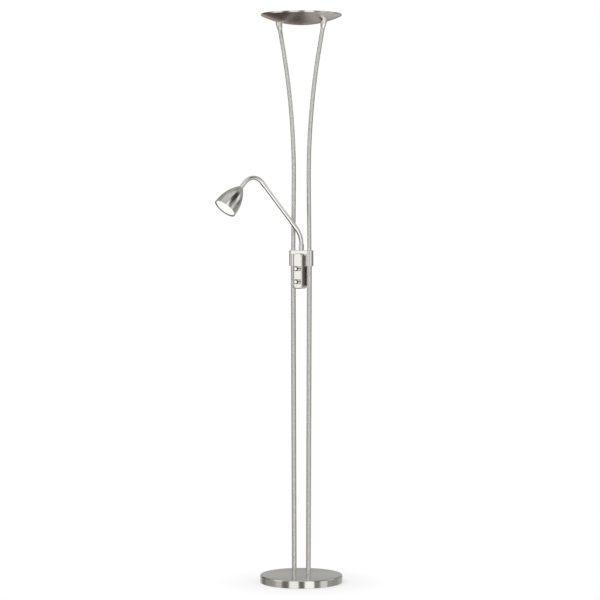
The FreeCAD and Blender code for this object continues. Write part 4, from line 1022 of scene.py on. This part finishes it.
class LAMP_OT_arm(BuildStep, Operator):
    """Build the swivel collar, the rigid tube and its two ferrules"""

    bl_idname = "lamp.arm"
    bl_label = "Reading arm"

    def build(self, sizes):
        lower, upper = Neck(LOWER_CHAIN), Neck(UPPER_CHAIN)
        lap = 0.001
        set_in = 0.004
        self.collar(sizes, lower)
        low_run, high_run = lower.runs[-1], upper.runs[0]
        start = lower.end(len(LOWER_CHAIN) - 1)
        end = upper.start(0)
        bore = sizes.arm_tube_radius - sizes.arm_tube_wall
        ferrule_top = start + low_run * sizes.arm_ferrule_length
        turned_sleeve("arm_ferrule_lower", "arm_rod", start - low_run * lap, ferrule_top,
                      sizes.arm_ferrule_radius, bore, ["arm_ferrule"], dark_line=0.0035)
        turned_sleeve("arm_ferrule_upper", "arm_rod", end - high_run * sizes.end_ferrule_length,
                      end + high_run * lap, sizes.arm_ferrule_radius, bore, ["end_ferrule"])
        straight_tube("arm_rigid_tube", "arm_rod", "polished_chrome", start + low_run * set_in,
                      end - high_run * set_in, sizes.arm_tube_radius, sizes.arm_tube_wall, ROUND_STEPS,
                      ["arm_tube"])

    def collar(self, sizes, lower):
        """The swivel collar with a rounded shoulder under the neck."""
        gap = 0.0003
        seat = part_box("bracket_cap")[1].z + gap
        top = lower.start(0).z
        radius = sizes.collar_radius
        lead_hole = sizes.neck_radius - sizes.neck_wall * 2 - 0.003
        outline = Outline(lead_hole, seat).to(radius, seat, 0.0006, 3)
        outline.line(radius, seat + 0.003, depth=0.0003, flat=0.0003)
        outline.to(radius, top, 0.001, 5).to(lead_hole, top)
        bm = place_turned(outline.turned(ROUND_STEPS))
        finish_piece(bm, "swivel_collar", "arm_base", "polished_chrome", ["arm_collar"])


# ---------------------------------------------------------------- reading head
class LAMP_OT_shade(BuildStep, Operator):
    """Spin the bell shade with its rolled rim"""

    bl_idname = "lamp.shade"
    bl_label = "Shade"

    steps: IntProperty(name="Steps", description="Facets round the shade", default=96, min=24)
    curve_steps: IntProperty(name="Curve steps", description="Facets from neck to rim", default=36, min=6)

    def build(self, sizes):
        run = Neck(UPPER_CHAIN).runs[-1]
        wall = sizes.shade_wall
        rim = sizes.shade_length
        hole = 0.0042
        heights = [rim * i / self.curve_steps for i in range(1, self.curve_steps + 1)]
        outline = Outline(hole, 0).to(sizes.shade_neck, 0, 0.0005, 3)
        for height in heights:
            outline.to(self.bell(sizes, height), height, wall * THIN_EDGE if height == rim else 0.0, 3)
        for height in reversed([h for h in heights if h > 2 * wall]):
            outline.to(self.bell(sizes, height) - wall, height, wall * THIN_EDGE if height == rim else 0.0, 3)
        outline.to(self.bell(sizes, 2 * wall) - wall, 2 * wall).to(hole, 2 * wall)
        bm = place_turned(outline.turned(self.steps), self.apex(run, sizes), run)
        finish_piece(bm, "bell_shade", "head", "brushed_nickel", ["shade"], "shade_nickel")

    def apex(self, run, sizes):
        """The middle of the shade's neck, found back along its axis from the lowest point of the rim."""
        pivot = joint_place(UPPER_CHAIN[-1])
        rim_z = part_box("shade")[0].z + sizes.shade_rim * math.sqrt(1 - run.z ** 2)
        return pivot + run * ((rim_z - pivot.z) / run.z - sizes.shade_length)

    def bell(self, sizes, height):
        """The bell's outside radius at a distance from its neck."""
        share = 1 - (1 - height / sizes.shade_length) ** sizes.shade_fullness
        return sizes.shade_neck + (sizes.shade_rim - sizes.shade_neck) * share


# ---------------------------------------------------------------- finishes of the frame's own pieces
class LAMP_OT_frame_finishes(Operator):
    """Give every piece that comes with the frame its own finish"""

    bl_idname = "lamp.frame_finishes"
    bl_label = "Frame finishes"

    def execute(self, context):
        plain = {"brushed_nickel": "nickel_parts", "polished_chrome": "chrome_parts",
                 "satin_casting": "satin_housing", "dark_ring": "dark_parts"}
        for subpart in frame["record"]["subparts"]:
            node = frame["nodes"][subpart["node"]]
            slot = subpart["material_slot"]
            material = finish_of(plain.get(slot, slot))
            for place in node.material_slots:
                place.material = material
        return {"FINISHED"}


# ---------------------------------------------------------------- studio
ROOM_BOXES = (
    # azimuth from the camera, half width, lowest and highest elevation and softness of the edges, all in
    # degrees, and brightness; a later box lies over the ones before it
    (10.0, 48.0, -90.0, -24.0, 6.0, 0.95),
    (-112.0, 74.0, -90.0, -20.0, 7.0, 0.07),
    (180.0, 9.0, -24.0, 2.0, 4.0, 0.2),
    (180.0, 42.0, -8.0, 5.0, 2.0, 0.15),
    (180.0, 40.0, 18.0, 40.0, 3.0, 0.18),
    (-115.0, 30.0, 15.0, 66.0, 3.0, 0.3),
    (-131.0, 12.0, -20.0, -5.0, 5.0, 0.17),
    (-122.0, 22.0, -5.0, 20.0, 3.0, 0.05),
    (112.0, 16.0, -6.0, 4.0, 2.0, 0.07),
    (-21.0, 13.0, -26.0, 48.0, 1.2, 0.84),
    (23.0, 13.0, -26.0, 48.0, 1.2, 0.94),
    (67.0, 11.0, -26.0, 12.0, 2.0, 0.6),
    (96.0, 12.0, 7.0, 26.0, 2.0, 0.8),
    (-67.0, 9.0, -26.0, -5.0, 3.0, 0.46),
    (-71.0, 15.0, -5.0, 50.0, 2.0, 0.84),
    (1.0, 6.0, -24.0, 50.0, 1.2, 0.13),
    (-46.0, 8.0, -24.0, 50.0, 2.0, 0.14),
    (45.0, 6.0, -24.0, 50.0, 2.0, 0.18),
    (68.0, 31.0, 27.0, 61.0, 2.0, 0.03),
)


# Where the room's reflection is brown instead of white, as such a box, and the two colours.
TINTED_BOX = (-112.0, 74.0, -90.0, -14.0, 8.0)
TINTS = ((1, 0.985, 0.965), (1, 0.8, 0.68))
# The plain room between the boxes: its front from level to high up, and its back from low to high.
ROOM_FRONT = (0.28, 0.55)
ROOM_BACK = (0.42, 0.34)
BOX_SOCKETS = ("Azimuth", "Elevation", "Centre", "Half width", "Low", "High", "Soft")


def box_group():
    """A soft-edged box on the sky, from a direction's azimuth and elevation in degrees."""
    tree, given, result = new_group("Studio box", [(name, "Float", 0.0) for name in BOX_SOCKETS],
                                    [("Mask", "Float")])
    turned = maths(tree, "SUBTRACT", given["Azimuth"], given["Centre"])
    wrapped = maths(tree, "WRAP", turned, 180.0, -180.0)
    aside = maths(tree, "SUBTRACT", given["Half width"], maths(tree, "ABSOLUTE", wrapped))
    over = maths(tree, "SUBTRACT", given["Elevation"], given["Low"])
    under = maths(tree, "SUBTRACT", given["High"], given["Elevation"])
    nearest = maths(tree, "MINIMUM", aside, maths(tree, "MINIMUM", over, under))
    share = maths(tree, "DIVIDE", nearest, given["Soft"])
    tree.links.new(eased(tree, share, -1.0, 1.0), result["Mask"])
    return tree


def box_mask(tree, *values):
    return use_group(tree, "Studio box", box_group, dict(zip(BOX_SOCKETS, values)))["Mask"]


def seen_straight(tree):
    """One for a ray from the camera, also through glass, and nothing for one off another surface."""
    path = put(tree, "ShaderNodeLightPath").outputs
    return maths(tree, "MAXIMUM", path["Is Camera Ray"], path["Is Transmission Ray"])


class LAMP_OT_studio(Operator):
    """Set up the camera, the soft lights, the sky of white boxes and the pale floor"""

    bl_idname = "lamp.studio"
    bl_label = "Studio"

    def execute(self, context):
        settings = context.scene.lamp_studio
        context.scene.camera = self.camera(settings)
        context.scene.world = self.sky(settings)
        self.key(settings)
        self.floor(settings)
        context.scene.view_settings.view_transform = "Standard"
        return {"FINISHED"}

    def towards(self, azimuth):
        """A level direction from the lamp, by its turn from the front."""
        return Vector((math.sin(azimuth), -math.cos(azimuth), 0))

    def camera(self, settings):
        data = bpy.data.cameras.new("Camera")
        data.sensor_width = 36.0
        data.lens = data.sensor_width * settings.camera_distance / settings.view_width
        data.shift_x = (IMAGE_SIZE / 2 - settings.axis_column) / IMAGE_SIZE
        data.shift_y = (settings.horizon_row - IMAGE_SIZE / 2) / IMAGE_SIZE
        data.clip_end = 100.0
        camera = add_object("Camera", data)
        back = self.towards(settings.camera_azimuth)
        camera.location = back * settings.camera_distance + UP * settings.camera_height
        camera.rotation_euler = (-back).to_track_quat("-Z", "Y").to_euler()
        return camera

    def key(self, settings):
        data = bpy.data.lights.new("Key", "AREA")
        data.energy = settings.key_power
        data.shape = "DISK"
        data.size = settings.key_size
        light = add_object("Key", data)
        out = self.towards(settings.camera_azimuth - settings.key_turn)
        light.location = out * settings.key_distance + UP * settings.key_height
        aim = UP * settings.key_aim - light.location
        light.rotation_euler = aim.to_track_quat("-Z", "Y").to_euler()
        light.visible_glossy = False

    def sky(self, settings):
        """An even fill for matt surfaces, white behind the lamp, and boxes and flags for metal to reflect."""
        world = bpy.data.worlds.new("Studio sky")
        world.use_nodes = True
        tree = world.node_tree
        tree.nodes.clear()
        direction = put(tree, "ShaderNodeTexCoord").outputs["Generated"]
        turned = put(tree, "ShaderNodeVectorRotate", {"Vector": direction, "Angle": -settings.camera_azimuth},
                     rotation_type="Z_AXIS").outputs[0]
        parts = put(tree, "ShaderNodeSeparateXYZ", {"Vector": turned}).outputs
        angles = [maths(tree, "ARCTAN2", parts["X"], maths(tree, "MULTIPLY", parts["Y"], -1.0)),
                  maths(tree, "ARCSINE", parts["Z"])]
        azimuth, elevation = (maths(tree, "DEGREES", angle) for angle in angles)
        level = self.room(tree, azimuth, elevation)
        for *box, brightness in ROOM_BOXES:
            level = between(tree, box_mask(tree, azimuth, elevation, *box), level, brightness)
        tint = mix_colours(tree, box_mask(tree, azimuth, elevation, *TINTED_BOX), *TINTS)
        fill = put(tree, "ShaderNodeBackground", {"Strength": settings.fill_level, "Color": (1, 1, 1, 1)})
        mirrored = put(tree, "ShaderNodeBackground",
                       {"Color": tint, "Strength": maths(tree, "MULTIPLY", level, settings.mirror_level)})
        white = put(tree, "ShaderNodeBackground", {"Strength": 1.0, "Color": (1, 1, 1, 1)})
        glossy = put(tree, "ShaderNodeLightPath").outputs["Is Glossy Ray"]
        lit = put(tree, "ShaderNodeMixShader", {0: glossy, 1: fill.outputs[0],
                                                2: mirrored.outputs[0]}).outputs[0]
        shown = put(tree, "ShaderNodeMixShader", {0: seen_straight(tree), 1: lit, 2: white.outputs[0]})
        put(tree, "ShaderNodeOutputWorld", {"Surface": shown.outputs[0]})
        return world

    def room(self, tree, azimuth, elevation):
        """The plain room between the boxes: mid grey, lighter behind the lamp and over the horizon."""
        behind = eased(tree, maths(tree, "ABSOLUTE", azimuth), 110.0, 160.0)
        over = eased(tree, elevation, -8.0, 6.0)
        high = eased(tree, elevation, 25.0, 75.0)
        return between(tree, behind, between(tree, high, *ROOM_FRONT), between(tree, over, *ROOM_BACK))

    def floor(self, settings):
        """A pale floor that fades into the white background away from the lamp, and keeps its shadow."""
        bm = bmesh.new()
        bmesh.ops.create_circle(bm, cap_ends=True, segments=64, radius=settings.floor_radius)
        mesh = bpy.data.meshes.new("Floor")
        bm.to_mesh(mesh)
        bm.free()
        mesh.materials.append(self.floor_material(settings))
        floor = add_object("Floor", mesh)
        floor.visible_glossy = False

    def floor_material(self, settings):
        material = bpy.data.materials.new("Pale floor")
        material.use_nodes = True
        tree = material.node_tree
        paper = tree.nodes["Principled BSDF"]
        fill(tree, paper, {"Base Color": (0.93, 0.93, 0.93, 1), "Roughness": 0.9, "Specular IOR Level": 0.0})
        place = put(tree, "ShaderNodeTexCoord").outputs["Object"]
        near = eased(tree, vector_maths(tree, "LENGTH", place), settings.shadow_full, settings.shadow_end,
                     settings.shadow_share, 0.0)
        white = put(tree, "ShaderNodeEmission", {"Color": (1, 1, 1, 1), "Strength": 1.0}).outputs[0]
        blend = maths(tree, "MULTIPLY", seen_straight(tree), maths(tree, "SUBTRACT", 1.0, near))
        mixed = put(tree, "ShaderNodeMixShader", {0: blend, 1: paper.outputs[0], 2: white}).outputs[0]
        tree.links.new(mixed, tree.nodes["Material Output"].inputs["Surface"])
        return material


# ---------------------------------------------------------------- panel and registration
BUILD_ORDER = (LAMP_OT_studio, LAMP_OT_foot, LAMP_OT_poles, LAMP_OT_pole_ferrules, LAMP_OT_bowl,
               LAMP_OT_bracket, LAMP_OT_knobs, LAMP_OT_necks, LAMP_OT_arm, LAMP_OT_shade,
               LAMP_OT_frame_finishes)


class LAMP_PT_build(Panel):
    """Lists the steps that build the lamp, with its sizes and finishes"""

    bl_idname = "LAMP_PT_build"
    bl_label = "Floor Lamp"
    bl_space_type = "VIEW_3D"
    bl_region_type = "UI"
    bl_category = "Floor Lamp"

    def draw(self, context):
        column = self.layout.column(align=True)
        for step in BUILD_ORDER:
            column.operator(step.bl_idname)
        for group_name in ("lamp_sizes", "lamp_finish", "lamp_studio"):
            settings = getattr(context.scene, group_name)
            box = self.layout.box()
            for name in settings.__annotations__:
                box.prop(settings, name)


CLASSES = (LampSizes, LampFinish, StudioSettings) + BUILD_ORDER + (LAMP_PT_build,)


def register():
    for cls in CLASSES:
        bpy.utils.register_class(cls)
    bpy.types.Scene.lamp_sizes = PointerProperty(type=LampSizes)
    bpy.types.Scene.lamp_finish = PointerProperty(type=LampFinish)
    bpy.types.Scene.lamp_studio = PointerProperty(type=StudioSettings)


def unregister():
    del bpy.types.Scene.lamp_studio
    del bpy.types.Scene.lamp_finish
    del bpy.types.Scene.lamp_sizes
    for cls in reversed(CLASSES):
        bpy.utils.unregister_class(cls)


def main():
    """Register the tools and run them in order."""
    register()
    for step in BUILD_ORDER:
        family, name = step.bl_idname.split(".")
        getattr(getattr(bpy.ops, family), name)()


if __name__ == "__main__":
    main()
